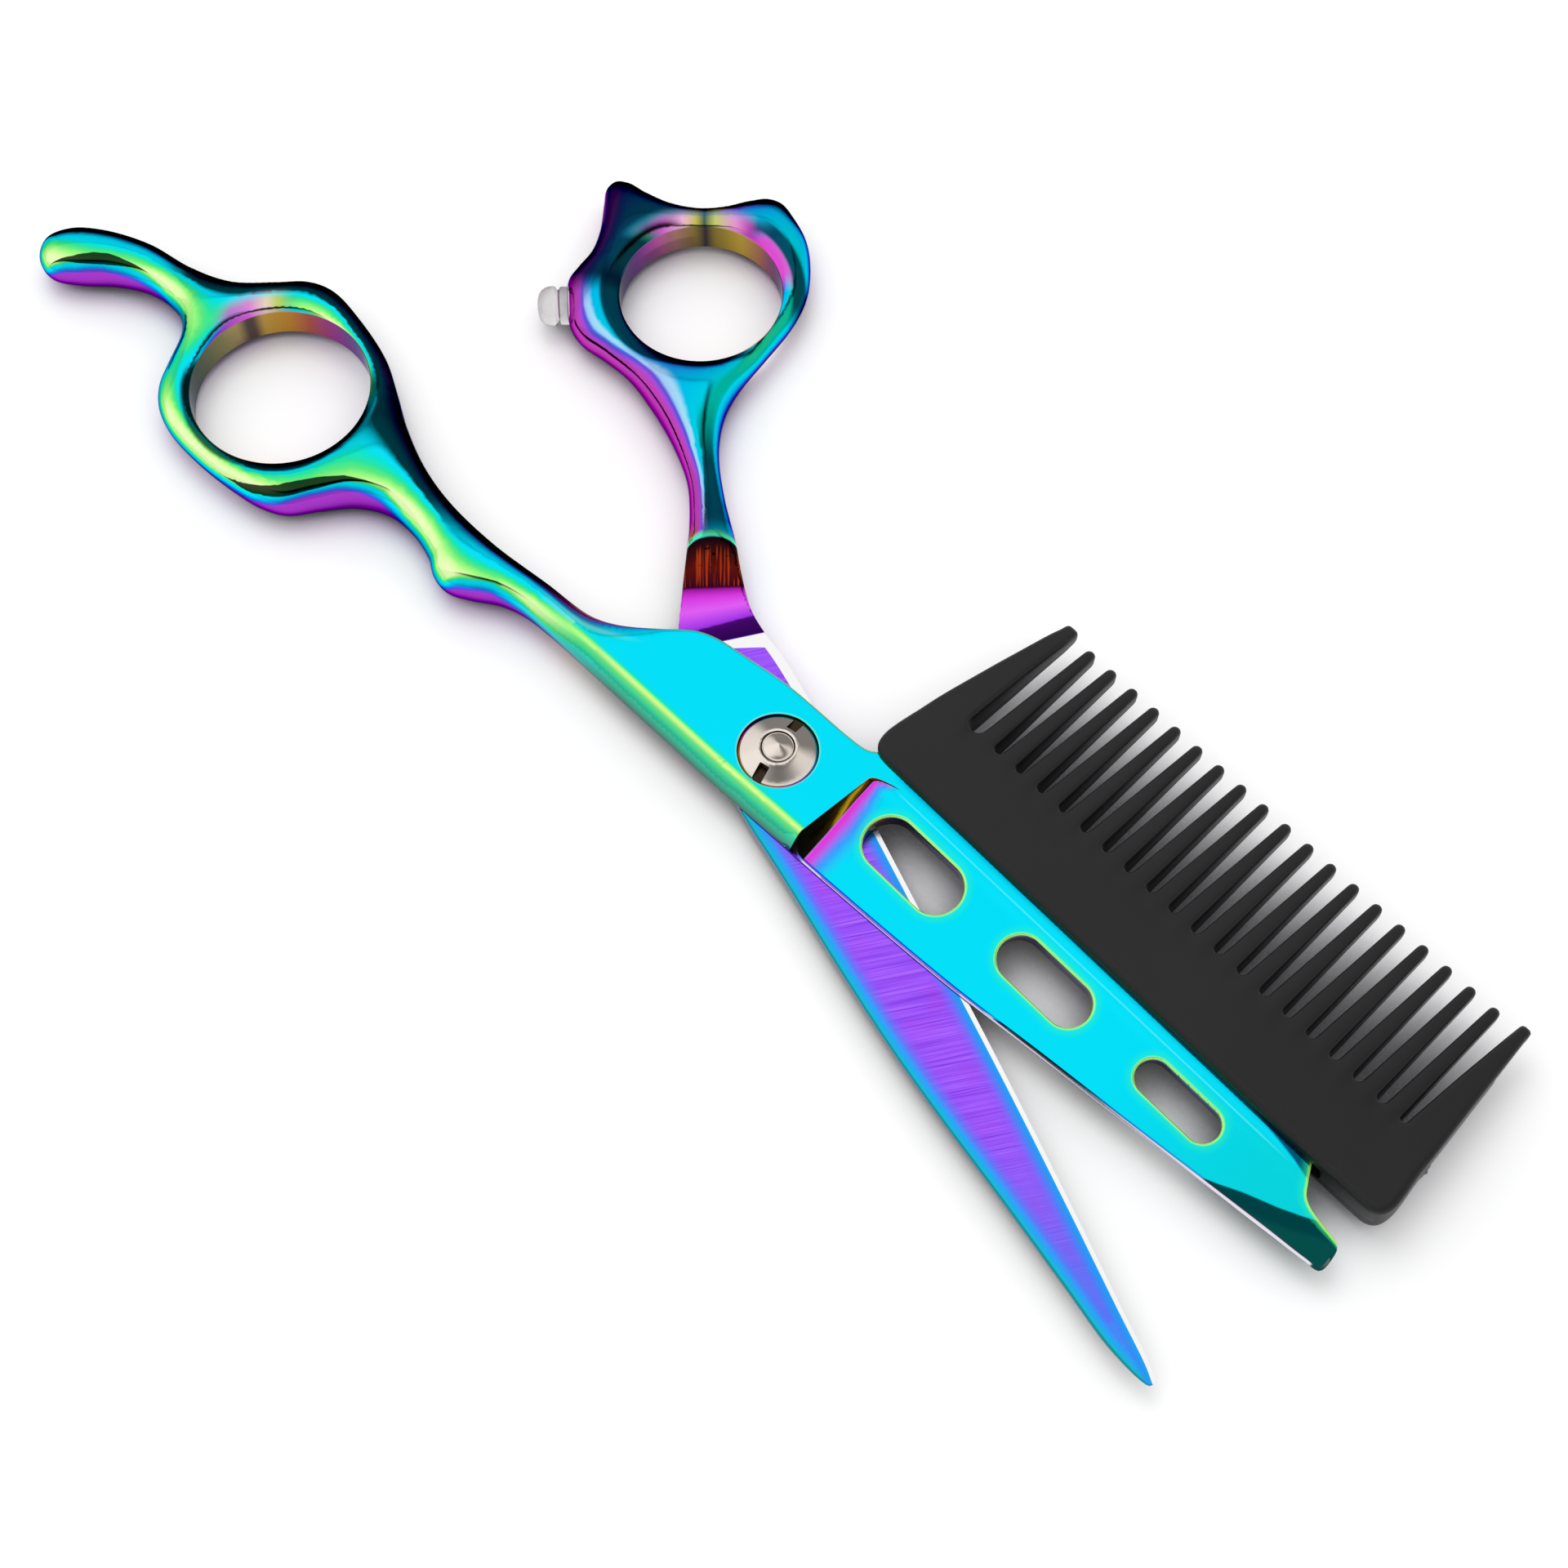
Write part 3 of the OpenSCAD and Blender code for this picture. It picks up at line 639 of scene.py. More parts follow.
def upper_relief_points():
    """Rows of points along the step and the land line."""
    points = []
    for y in np.arange(-6.9, 7.2, 0.26):
        start, width = float(step_x(y)), float(step_width(y))
        points += [(start + share * width, y) for share in
                   (-0.22, -0.08, 0.02, 0.12, 0.3, 0.5, 0.7, 0.88, 0.98, 1.1, 1.35)]
    for x in np.arange(11, 79, 0.5):
        points += [(x, y) for y in (5.0, 5.4, 5.8, 6.2, 6.6)]
    return np.array(points)


def upper_wall(loop_index, rim, top, bottom):
    """Two rows; the pivot hole has a counterbore, a bushing bore and a washer recess."""
    if loop_index != PIVOT_LOOP:
        return [(rim, top + (bottom - top) * share) for share in (0.33, 0.67)]
    spoke = rim / PIVOT_HOLE_R
    rows = [(PIVOT_HOLE_R, 1.4), (2.8, 1.4), (2.8, 0.4), (4.55, 0.4), (4.55, bottom)]
    return [(spoke * radius, np.zeros(len(rim)) + z) for radius, z in rows]


def clear_of_lower(sheet, top, bottom):
    """Lift the underside of the shank clear of the ramp below it."""
    x, y = sheet.points.T
    near = (x > -45) & (x < -8)
    lower_loop = smooth_curve(LOWER_OUTLINE, 0.5)
    overlap = np.full(len(x), -9.0)
    overlap[near] = (loop_distance(sheet.points[near], lower_loop)
                     * np.where(inside(sheet.points[near], lower_loop), 1, -1))
    share = ease(-1.4, -0.5, overlap)
    need = np.maximum(-GAP + ramp_rise(ramp_travel(x, y)) + 0.14, GAP)
    lifted = np.where(share > 0, bottom * (1 - share) + need * share, bottom)
    return np.minimum(np.maximum(bottom, lifted), top - 0.1)


def make_upper():
    holes = [circle(FINGER_RING, FINGER_R, RIM_STEP), circle((0, 0), PIVOT_HOLE_R, 0.3)]
    holes += [obround(*slot, 0.3) for slot in BLADE_SLOTS]
    sheet = Sheet(smooth_curve(UPPER_OUTLINE, RIM_STEP), holes, HALF_OFFSETS, HALF_GRID,
                  upper_relief_points())
    x, y = sheet.points.T
    outer, bore = sheet.rim[0], sheet.rim[PIVOT_LOOP]
    slots = np.min(sheet.rim[FIRST_SLOT:], axis=0)

    # flat block: long bevel on the -Y side, small round on the +Y side
    handle = 1 - ease(-40, -19, x)
    low = ease(1.5, -3.5, y - np.interp(x, [-45, -25, -15, 10], [-8, -4, -1, 0]))
    drop = (low * 3.05 * np.clip(1 - outer / (1.95 + 0.5 * handle), 0, 1) ** 1.45
            + (1 - low) * round_drop(outer, 0.28 + 1.2 * handle))
    blade = ease(9.6, 11.0, x)
    drop = drop * (1 - blade) + round_drop(outer, 0.1) * blade
    # handle, ring and rest are one swollen body
    sheet.swell(RIM_FILM)
    top = (spine_z(x) - drop) * (1 - handle) + handle_top(sheet.dome) * handle
    bottom = ((GAP + round_drop(outer, 0.06)) * (1 - handle)
              - handle_bottom(sheet.dome) * handle)
    # ground face and rounded hole edges
    top = np.where(x > 8.5, top - grind(x, y), top - round_drop(bore, 0.12) * (x < 8.5))
    top = np.where(x > 9, top - round_drop(slots, 0.26), top)
    # fine cutting bevel
    cut = outer + 4 * ease(2.0, 3.0, y)
    foot = GAP + 0.1
    bevelled = np.minimum(top, foot + (top - foot) * (cut / 0.32))
    top = np.where((x > 10.5) & (y < 4.2) & (cut < 0.32), bevelled, top)
    # hollow of the inner face
    from_edge = edge_distance(x, y, smooth_curve(UPPER_EDGE, 0.5, closed=False), 9)
    bottom = bottom + 0.85 * (ease(12, 17, x) * ease(84, 74, x)
                              * ease(0.5, 3.2, from_edge) * ease(7.0, 4.6, y))
    top = np.maximum(top, bottom + 0.1)
    bottom = clear_of_lower(sheet, top, bottom)
    bottom[sheet.borders[PIVOT_LOOP]] = GAP
    verts, faces = sheet.build(top, bottom, upper_wall)

    # magenta foot of the step, fading to blue
    count = len(x)
    width = step_width(y)
    across_step = (x - step_x(y)) / width
    past_step = x - step_x(y) - width
    face = ease(0.85, 1.05, across_step) * (x > 9) * ease(6.6, 6.0, y)
    fade = past_step / np.interp(y, [-7, 0, 5, 7], [2.0, 2.3, 1.2, 0.8])
    paint = np.zeros((sheet.total, 4), np.float32)
    lay_paint(paint[:count], (0.25, 0.45, 0.98), face * (1 - ease(0.6, 1.9, fade)) * 0.85)
    lay_paint(paint[:count], (0.86, 0.22, 0.84), face * (1 - ease(0.15, 0.95, fade)))
    # walls of the slots and the pivot hole are in shade
    paint[sheet.walls[PIVOT_LOOP]] = BORE_SHADE
    for border, wall in list(zip(sheet.borders, sheet.walls))[FIRST_SLOT:]:
        paint[wall] = SLOT_SHADE
        paint[border + count] = SLOT_SHADE

    # borders of the painted dark reflection patches at the tip and at the shoulder near the comb's
    # +X end
    tip_y = np.interp(x, [68, 71.5, 74, 77.8, 80.6, 82.9, 86],
                      [-2.2, -0.76, 0.43, 1.85, 3.16, 4.48, 6.0])
    shoulder_y = np.interp(x, [60, 66, 70, 73, 75.5, 77.5], [8.6, 8.2, 7.75, 7.3, 6.9, 6.4])
    rim = np.minimum(np.minimum(slots, bore + 0.14),
                     outer + 3 * ease(75.5, 73.5, x) + 3 * ease(3.4, 2.4, y))
    film = -0.085 * ease(0.5, 1.2, across_step) * (x > 9) * ease(6.6, 5.6, y)
    zone = np.where((x > 8.2) & (y < 7.2), across_step, -9.0)
    piece = make("upper_half_polished", verts, faces, 34, {
        "paint": paint,
        "film": sheet.on_top(film, 0),
        "strip": sheet.on_top(cut - 0.2, 9),
        "zone": sheet.on_top(zone, -9),
        "across": sheet.on_top(y, 0),
        "hand": sheet.throughout(handle),
        "tip": sheet.on_top(y - tip_y, 9),
        "shoulder": sheet.on_top(y - shoulder_y, -9),
        "edge": sheet.on_top(outer, 9),
        "rim": sheet.on_top(rim, 9),
        "bevel": sheet.on_top(low * (1 - handle), 0)})
    set_normals(piece, sheet, handle, bevel=low * (1 - handle) * (x < 8.6))
    return piece


# ------------------------------------------------------------------ lower half


def lower_relief_points(edge):
    """Rows along the cutting edge, round the bolt head and across the ramp."""
    points = []
    for offset in (0.4, 0.55, 0.7, 1.1, 1.3):
        points += [(x, y - offset) for x, y in edge]
    for radius in (3.93, 4.0, 4.1, 4.17):
        points += [tuple(p) for p in circle((0, 0), radius, 0.3)]
    for along in np.arange(-0.5, 18, 0.35):
        for side in np.arange(-6, 14, 0.42):
            points.append((RAMP_X + RAMP_DX * along - RAMP_DY * side,
                           RAMP_Y + RAMP_DY * along + RAMP_DX * side))
    return np.array(points)


def make_lower():
    edge = smooth_curve(LOWER_EDGE, 0.5, closed=False)
    sheet = Sheet(smooth_curve(LOWER_OUTLINE, RIM_STEP), [circle(THUMB_RING, THUMB_R, RIM_STEP)],
                  HALF_OFFSETS, HALF_GRID, lower_relief_points(edge))
    x, y = sheet.points.T
    outer = sheet.rim[0]
    travel = ramp_travel(x, y)
    handle = ease(10.5, 16.5, travel)

    # top: flat ride face, then the ramp
    far_side = ease(1.5, -0.5, y) * (x > 4)
    top = (-GAP + ramp_rise(travel)
           - round_drop(outer, 0.3 * far_side + 0.5 * ease(1.0, 8, travel)))
    # bottom: tapering back and a slope up to the cutting edge
    back_z = np.interp(x, [-60, -40, -20, 8, 18, 38, 59, 78, 84.5],
                       [-3.0, -3.0, -3.5, -3.5, -3.1, -2.5, -1.9, -1.3, -0.7])
    bottom = back_z + round_drop(outer, np.interp(x, [-20, 8, 40, 84], [2.0, 1.6, 1.3, 0.5]))
    from_edge = edge_distance(x, y, edge, -20)
    slope = np.where(from_edge < 8, -GAP - 0.12 - from_edge * 0.42, bottom)
    blade = ease(6, 14, x)
    bottom = np.where(x > 5, np.maximum(bottom, slope * blade + bottom * (1 - blade)), bottom)

    sheet.swell(RIM_FILM)
    top = top * (1 - handle) + handle_top(sheet.dome) * handle
    bottom = bottom * (1 - handle) - handle_bottom(sheet.dome) * handle
    # seat of the bolt head
    bottom = np.where(np.hypot(x, y) < 4.05, -2.36, bottom)
    rim_gap = np.min(sheet.rim, axis=0)
    soft = ease(0.3, 1.5, travel) * ease(0.05, 0.5, rim_gap) * (1 - handle)
    top = sheet.soften(top, soft, 4)
    bottom = np.minimum(bottom, top - 0.1)
    verts, faces = sheet.build(top, bottom)

    # colour zones of the ramp: 0 to 1 to 2 to 3 between these travels
    zone_0 = 0.35 + 0.2 * (y - 3)
    zone_1 = 1.5 + 0.25 * (y + 0.8)
    zone_2 = 7.1
    zone_3 = 13.5 - 1.3 * np.exp(-outer / 0.9)
    zone = np.where(travel < zone_1, (travel - zone_0) / (zone_1 - zone_0),
                    np.where(travel < zone_2, 1 + (travel - zone_1) / (zone_2 - zone_1),
                             2 + (travel - zone_2) / (zone_3 - zone_2)))
    # bright strip along the edge, ending before the ramp
    strip = from_edge - np.interp(x, [-16, -2, 10, 84], [1.15, 1.15, 0.58, 0.5])
    strip = np.minimum(strip, -1.0 - travel)
    piece = make("lower_half_polished", turn(verts, -OPEN), faces, 34, {
        "strip": sheet.on_top(strip, 9),
        "zone": sheet.on_top(np.where(travel > -4, zone, -9), -9),
        "flat": sheet.on_top(ease(0.6, 0.3, travel - zone_0 + 0.3), 0),
        "back": sheet.on_top(np.where(x > 3, outer, 9.0), 9),
        "cutd": sheet.on_top(np.where(x > 3, from_edge, 9.0), 9),
        "film": sheet.on_top(0, 0),
        "hand": sheet.throughout(handle),
        "along": sheet.on_top(travel, 30)})
    sheet.dome_slope = turn(sheet.dome_slope, -OPEN)
    set_normals(piece, sheet, handle)
    return piece


upper = make_upper()
mount(upper, "upper", "upper_half")
lower = make_lower()
mount(lower, "lower", "lower_half")

# ------------------------------------------------------------------ pivot

NUT_R = 4.725
NUT_STEP = 0.26
NUT_SLOTS = [math.radians(angle) for angle in (103, 283)]    # two opposite radial slots


def nut_relief_points():
    points = []
    for radius in (4.62, 4.49, 4.41, 2.42, 2.3, 2.18):
        points += [tuple(p) for p in circle((0, 0), radius, NUT_STEP)]
    for angle in NUT_SLOTS:
        spots = [(out, side) for out in np.arange(2.76, 4.7, 0.13)
                 for side in (-0.66, -0.59, -0.3, 0.0, 0.3, 0.59, 0.66)]
        spots += [(out, side) for side in np.arange(-0.66, 0.67, 0.11) for out in (2.76, 2.83)]
        c, s = math.cos(angle), math.sin(angle)
        points += [(out * c - side * s, out * s + side * c) for out, side in spots]
    return np.array(points)


def make_nut():
    sheet = Sheet(circle((0, 0), NUT_R, NUT_STEP), [circle((0, 0), 2.06, NUT_STEP)],
                  [0.3], 0.32, nut_relief_points())
    x, y = sheet.points.T
    top = np.interp(np.hypot(x, y), [2.0, 2.18, 2.32, 2.5, 4.35, 4.47, 4.62, NUT_R],
                    [4.18, 4.27, 4.29, 4.21, 3.2, 3.12, 3.0, 2.88])
    # painted shade: the nut's two slots are marked for a dark colour in the steel
    dark = np.zeros(len(x))
    for angle in NUT_SLOTS:
        out = x * math.cos(angle) + y * math.sin(angle)
        side = np.abs(-x * math.sin(angle) + y * math.cos(angle))
        top = np.where((out > 2.8) & (side < 0.62), np.minimum(top, 2.9), top)
        dark = np.maximum(dark, (out > 2.78) * (side < 0.63))
    verts, faces = sheet.build(top, np.full(len(x), 1.8))
    return make("tension_nut_turned", verts, faces, 24, {"dark": sheet.on_top(dark, 1)})


def lathe(profile, count):
    """Solid turned about Z; profile is (r, z) and starts and ends on the axis."""
    verts, faces, rows = [], [], []
    for r, z in profile:
        if r < 1e-6:
            rows.append([len(verts)])
            verts.append((0.0, 0.0, z))
            continue
        rows.append(list(range(len(verts), len(verts) + count)))
        for i in range(count):
            angle = 2 * math.pi * i / count
            verts.append((r * math.cos(angle), r * math.sin(angle), z))
    for below, above in zip(rows, rows[1:]):
        for i in range(count):
            k = (i + 1) % count
            if len(below) == 1:
                faces.append([below[0], above[k], above[i]])
            elif len(above) == 1:
                faces.append([below[i], below[k], above[0]])
            else:
                faces.append([below[i], below[k], above[k], above[i]])
    return np.array(verts), faces


# (r, z) from the head under the lower half to the domed end above the nut
BOLT_PROFILE = [
    (0, -3.42), (1.0, -3.47), (2.6, -3.5), (3.72, -3.48), (3.92, -3.4), (4.0, -3.25),
    (4.0, -2.42), (2.2, -2.42), (2.2, -0.45), (1.98, -0.4), (1.98, 4.02), (1.93, 4.12),
    (1.86, 4.19), (1.8, 4.2), (1.76, 4.17), (1.72, 4.2), (1.6, 4.27), (1.2, 4.44), (0.8, 4.61),
    (0.4, 4.77), (0.18, 4.84), (0.06, 4.85), (0, 4.85)]

nut = make_nut()
mount(nut, "nut", "tension_nut")
bolt = make("pivot_bolt_turned", *lathe(BOLT_PROFILE, 80), 30)
mount(bolt, "lower", "pivot_bolt")

# ------------------------------------------------------------------ guide comb

SLIM_COUNT = 19
SLIM_PITCH = 3.506
SLIM_X = 16.24                       # first slim tooth
SLIM_HALF = 1.15                     # half width at the root
ROOT_Y = 18.3                        # bottom of the gaps between teeth
COMB_Y = 8.0                         # -Y side of the comb
# (x, y) up the +X side, and down the -X side
COMB_RIGHT = [(84.0, COMB_Y), (85.4, 8.15), (86.4, 8.85), (86.85, 10.2), (86.75, 12),
              (86.3, 14.8), (85.85, 19), (85, 26.5), (84.3, 33), (83.95, 36.2)]
COMB_LEFT = [(11.35, 36.3), (10.95, 34.5), (9.6, 27), (8.35, 20), (7.75, 16.2), (7.2, 12.4),
             (7.15, 10.6), (7.5, 9.2), (8.4, 8.3), (9.8, 8.03), (12, COMB_Y)]


def comb_gap(right, left, count=9):
    """Round-bottomed gap between two teeth, from its +X side."""
    radius = (right - left) / 2
    y = ROOT_Y + radius
    return [(right, y + 0.1)] + arc(((right + left) / 2, y), radius, 0, -180, count)[1:]


def comb_outline():
    points = [(12, COMB_Y)]
    points += [tuple(p) for p in smooth_curve(COMB_RIGHT, 0.4, closed=False)]
    points += arc((83.42, 37.05), 0.5, -5, 92, 6) + arc((82.95, 37.05), 0.5, 92, 185, 6)
    points += [(82.3, 35.2), (81.75, 27.5)]
    right = 81.27
    for i in reversed(range(SLIM_COUNT)):
        x = SLIM_X + i * SLIM_PITCH
        points += comb_gap(right, x + SLIM_HALF)
        points += arc((x, 36.15), 0.675, 4, 176)
        right = x - SLIM_HALF
    points += comb_gap(right, 12.92, 11)
    points += [(13.0, 24), (13.12, 30), (13.3, 35.4)]
    points += arc((12.72, 36.98), 0.55, 0, 85, 6) + arc((12.0, 36.98), 0.55, 100, 168, 6)
    points += [tuple(p) for p in smooth_curve(COMB_LEFT, 0.4, closed=False)[:-1]]
    return resample(np.array(points), 0.36)


def comb_wall(loop_index, rim, top, bottom):
    """Slightly bulged sides, and the groove on the -Y side that takes the spine."""
    x, y = rim.T
    along = tangents(rim)
    outward = np.stack([along[:, 1], -along[:, 0]], 1)
    groove = (y < 9.6) & (x < 78.6)
    side = ((x > 84.6) | (x < 9.5)) & (y > 8.2)
    bulge = np.where(side, 0.12, 0.02)
    # small rough patch on the +X side
    patch = np.exp(-((y - 16.9) / 0.75) ** 2) * (x > 84)
    patch = np.where(patch > 0.25, patch, 0) * (0.55 + 0.3 * np.sin(y * 9.0))
    inset = np.stack([np.zeros_like(x), np.where(groove, 9.65 - y, 0.0)], 1)
    roof, floor_z = spine_z(x) + 0.04, 0.01
    # share of the way down, whether set in, z in the groove, bulge outside it
    rows = [(0.05, 0, roof, 0.02),
            (0.62, 1, roof, bulge + 0.35 * patch),
            (0.65, 1, floor_z, bulge * 0.2 + 0.5 * patch),
            (0.74, 0, floor_z, bulge * 0.7 + 0.28 * patch),
            (0.95, 0, 0.05 * top + 0.95 * bottom, 0.01)]
    return [(rim + inset * is_set_in + outward * (out * ~groove)[:, None],
             np.where(groove, groove_z, top * (1 - down) + bottom * down))
            for down, is_set_in, groove_z, out in rows]


def make_comb():
    relief = [(x, COMB_Y + offset) for x in np.arange(8, 86, 0.7)
              for offset in (0.06, 0.16, 0.3, 0.46, 0.62, 0.8, 1.1)]
    sheet = Sheet(comb_outline(), [], [0.035, 0.11, 0.22, 0.36, 0.52, 0.8, 1.15], 0.62,
                  np.array(relief))
    x, y = sheet.points.T
    outer = sheet.rim[0]
    slim = ease(12.9, 14.4, x) * (1 - ease(80.4, 81.0, x))
    slim_taper = np.interp(y, [14.5, 17.5, 21.3, 27.4, 36.0, 36.8, 38],
                           [0, 0.1, 0.4, 0.85, 1.45, 1.75, 1.8])
    end_taper = np.interp(y, [18, 20, 27, 35, 37, 37.6], [0, 0.05, 0.4, 1.2, 1.5, 1.8])
    drop = slim_taper * slim + end_taper * (1 - slim)
    teeth = ease(15, 18.6, y)
    radius = 0.72 * (1 - teeth) + teeth * (0.42 * slim + 0.55 * (1 - slim))
    top = 4.1 - 0.8 * drop - round_drop(outer, radius)
    # the slim teeth are crowned
    tooth = np.clip(np.round((x - SLIM_X) / SLIM_PITCH), 0, SLIM_COUNT - 1)
    centre = SLIM_X + tooth * SLIM_PITCH
    top -= 0.1 * teeth * slim * np.clip((x - centre) / SLIM_HALF, -1, 1) ** 2
    bottom = -1.0 + drop + round_drop(outer, np.minimum(radius, 0.5))
    # faint waviness of the moulded face
    top += 0.012 * np.sin(x * 0.21 + 0.5 * y) * ease(0.8, 3.0, outer)
    return make("guide_comb_moulded", *sheet.build(top, bottom, comb_wall), 38)


comb = make_comb()
mount(comb, "comb", "guide_comb")

# ------------------------------------------------------------------ bumper

BUMPER_XY = (-70.9, 6.1)             # on the closed lower half
BUMPER_ANGLE = math.radians(-115)    # direction of its axis
# (r, distance along the axis) from the hidden stem to the rounded tip
BUMPER_PROFILE = [
    (0, -2.8), (1.0, -2.8), (1.16, -2.65), (1.16, -0.05), (1.3, 0.02), (2.35, 0.02),
    (2.5, 0.12), (2.5, 1.05), (2.46, 1.22), (2.3, 1.32), (2.12, 1.42), (2.1, 1.56),
    (2.2, 1.68), (2.46, 1.78), (2.58, 1.95), (2.6, 2.3), (2.55, 2.75), (2.4, 3.2),
    (2.12, 3.6), (1.7, 3.92), (1.2, 4.1), (0.6, 4.18), (0, 4.2)]


def make_bumper():
    verts, faces = lathe(BUMPER_PROFILE, 64)
    lying = np.stack([verts[:, 2], verts[:, 1], -verts[:, 0]], 1)
    lying = turn(lying, BUMPER_ANGLE)
    lying[:, :2] += BUMPER_XY
    return make("bumper_clear", turn(lying, -OPEN), faces, 40)


bumper = make_bumper()
mount(bumper, "lower", "bumper")

# ------------------------------------------------------------------ shader graphs


class Signal:
    """Output of a shader node; arithmetic adds math nodes, [key] picks another output."""

    def __init__(self, graph, node, key=0):
        self.graph, self.node, self.key = graph, node, key

    def __getitem__(self, key):
        return Signal(self.graph, self.node, key)

    def math(self, operation, *others):
        return self.graph.math(operation, self, *others)

    def __add__(self, other):
        return self.math("ADD", other)

    def __sub__(self, other):
        return self.math("SUBTRACT", other)

    def __rsub__(self, other):
        return self.graph.math("SUBTRACT", other, self)

    def __mul__(self, other):
        return self.math("MULTIPLY", other)

    def __truediv__(self, other):
        return self.math("DIVIDE", other)

    def max(self, other):
        return self.math("MAXIMUM", other)

    def abs(self):
        return self.math("ABSOLUTE")

    def times_plus(self, factor, addend):
        return self.math("MULTIPLY_ADD", factor, addend)

    def smooth(self, start, end, low=0.0, high=1.0):
        """Smooth step from low at start to high at end."""
        return self.graph.add("MapRange", {0: self, 1: start, 2: end, 3: low, 4: high},
                              interpolation_type="SMOOTHSTEP")

    def ease(self, start, end):
        """0 before start, 1 past end, with the larger bound last in the node."""
        if start < end:
            return self.smooth(start, end)
        return self.smooth(end, start, 1.0, 0.0)

    def between(self, low, high):
        """Spread 0..1 over low..high."""
        return self.graph.add("MapRange", {0: self, 3: low, 4: high})


class Graph:
    """Node tree of a material or world."""

    def __init__(self, owner):
        self.owner = owner
        owner.use_nodes = True
        self.tree = owner.node_tree
        self.tree.nodes.clear()

    def add(self, kind, inputs=None, **settings):
        """New node; inputs are linked if they are signals and set if they are values."""
        node = self.tree.nodes.new("ShaderNode" + kind)
        for name, value in settings.items():
            setattr(node, name, value)
        for key, value in (inputs or {}).items():
            if isinstance(value, Signal):
                self.tree.links.new(value.node.outputs[value.key], node.inputs[key])
            else:
                node.inputs[key].default_value = value
        return Signal(self, node)

    def math(self, operation, *operands):
        return self.add("Math", dict(enumerate(operands)), operation=operation)

    def fac(self, name):
        return self.add("Attribute", attribute_name=name)["Fac"]

    def coords(self):
        return self.add("TexCoord")["Object"]

    def place(self):
        """Object x and y in mm."""
        split = self.add("SeparateXYZ", {0: self.coords()})
        return split[0] * 1000.0, split[1] * 1000.0

    def noise(self, scale, detail=2.0, vector=None):
        if vector is None:
            vector = self.coords()
        return self.add("TexNoise", {"Scale": scale, "Detail": detail, "Vector": vector})["Fac"]

    def brushed(self, coords, degrees, scale, detail):
        """Noise drawn out into fine lines; scale is per metre along X and Y."""
        mapped = self.add("Mapping", {"Vector": coords,
                                      "Rotation": (0, 0, math.radians(degrees)),
                                      "Scale": (1 / scale[0], 1 / scale[1], 1)},
                          vector_type="TEXTURE")
        return self.noise(1.0, detail, mapped)

    def facing(self, direction):
        """Cosine between the surface normal and a direction."""
        return self.add("VectorMath", {0: self.add("NewGeometry")["Normal"], 1: direction},
                        operation="DOT_PRODUCT")["Value"]

    def bump(self, height, strength):
        return self.add("Bump", {"Height": height, "Strength": strength, "Distance": 0.00002})

    def mix(self, factor, below, above):
        inputs = {0: factor}
        for key, colour in ((6, below), (7, above)):
            inputs[key] = (*linear(colour), 1) if isinstance(colour, tuple) else colour
        return self.add("Mix", inputs, data_type="RGBA")[2]

    def ramp(self, stops, x):
        """stops are (position, sRGB colour)."""
        ramp = self.add("ValToRGB", {0: x})
        elements = ramp.node.color_ramp.elements
        while len(elements) > 1:
            elements.remove(elements[-1])
        elements[0].position = stops[0][0]
        elements[0].color = (*linear(stops[0][1]), 1)
        for position, colour in stops[1:]:
            elements.new(position).color = (*linear(colour), 1)
        return ramp

    def finish(self, shader, output="OutputMaterial"):
        self.add(output, {0: shader})
        return self.owner


def new_material(name):
    return Graph(bpy.data.materials.new(name))


# ------------------------------------------------------------------ rainbow coating

# Interference colours from glancing (0) to square-on (1); the upper half's scale is squeezed, and
# its palest stops past square-on are a painted highlight
FILM_SQUEEZE = 0.88
UPPER_FILM = [(position * FILM_SQUEEZE, colour) for position, colour in [
    (0.0, (0.35, 0.4, 0.15)), (0.08, (0.55, 0.52, 0.15)), (0.2, (0.72, 0.52, 0.15)),
    (0.3, (0.75, 0.3, 0.3)), (0.4, (0.66, 0.20, 0.70)), (0.5, (0.58, 0.24, 0.82)),
    (0.58, (0.34, 0.28, 0.82)), (0.66, (0.10, 0.48, 0.88)), (0.74, (0.0, 0.70, 0.88)),
    (0.82, (0.0, 0.84, 0.94)), (0.895, (0.03, 0.87, 0.96)), (0.925, (0.05, 0.88, 0.80)),
    (0.955, (0.16, 0.88, 0.60)), (0.99, (0.36, 0.90, 0.48)), (1.035, (0.62, 0.97, 0.50)),
    (1.075, (0.86, 1.0, 0.66)), (1.13, (0.95, 1.0, 0.8))]]
LOWER_FILM = [
    (0.0, (0.30, 0.36, 0.18)), (0.1, (0.55, 0.50, 0.15)), (0.2, (0.70, 0.32, 0.25)),
    (0.32, (0.74, 0.26, 0.70)), (0.46, (0.64, 0.30, 0.84)), (0.58, (0.36, 0.30, 0.82)),
    (0.68, (0.10, 0.50, 0.88)), (0.78, (0.0, 0.72, 0.90)), (0.88, (0.0, 0.80, 0.88)),
    (0.95, (0.0, 0.74, 0.66)), (1.0, (0.12, 0.78, 0.55))]
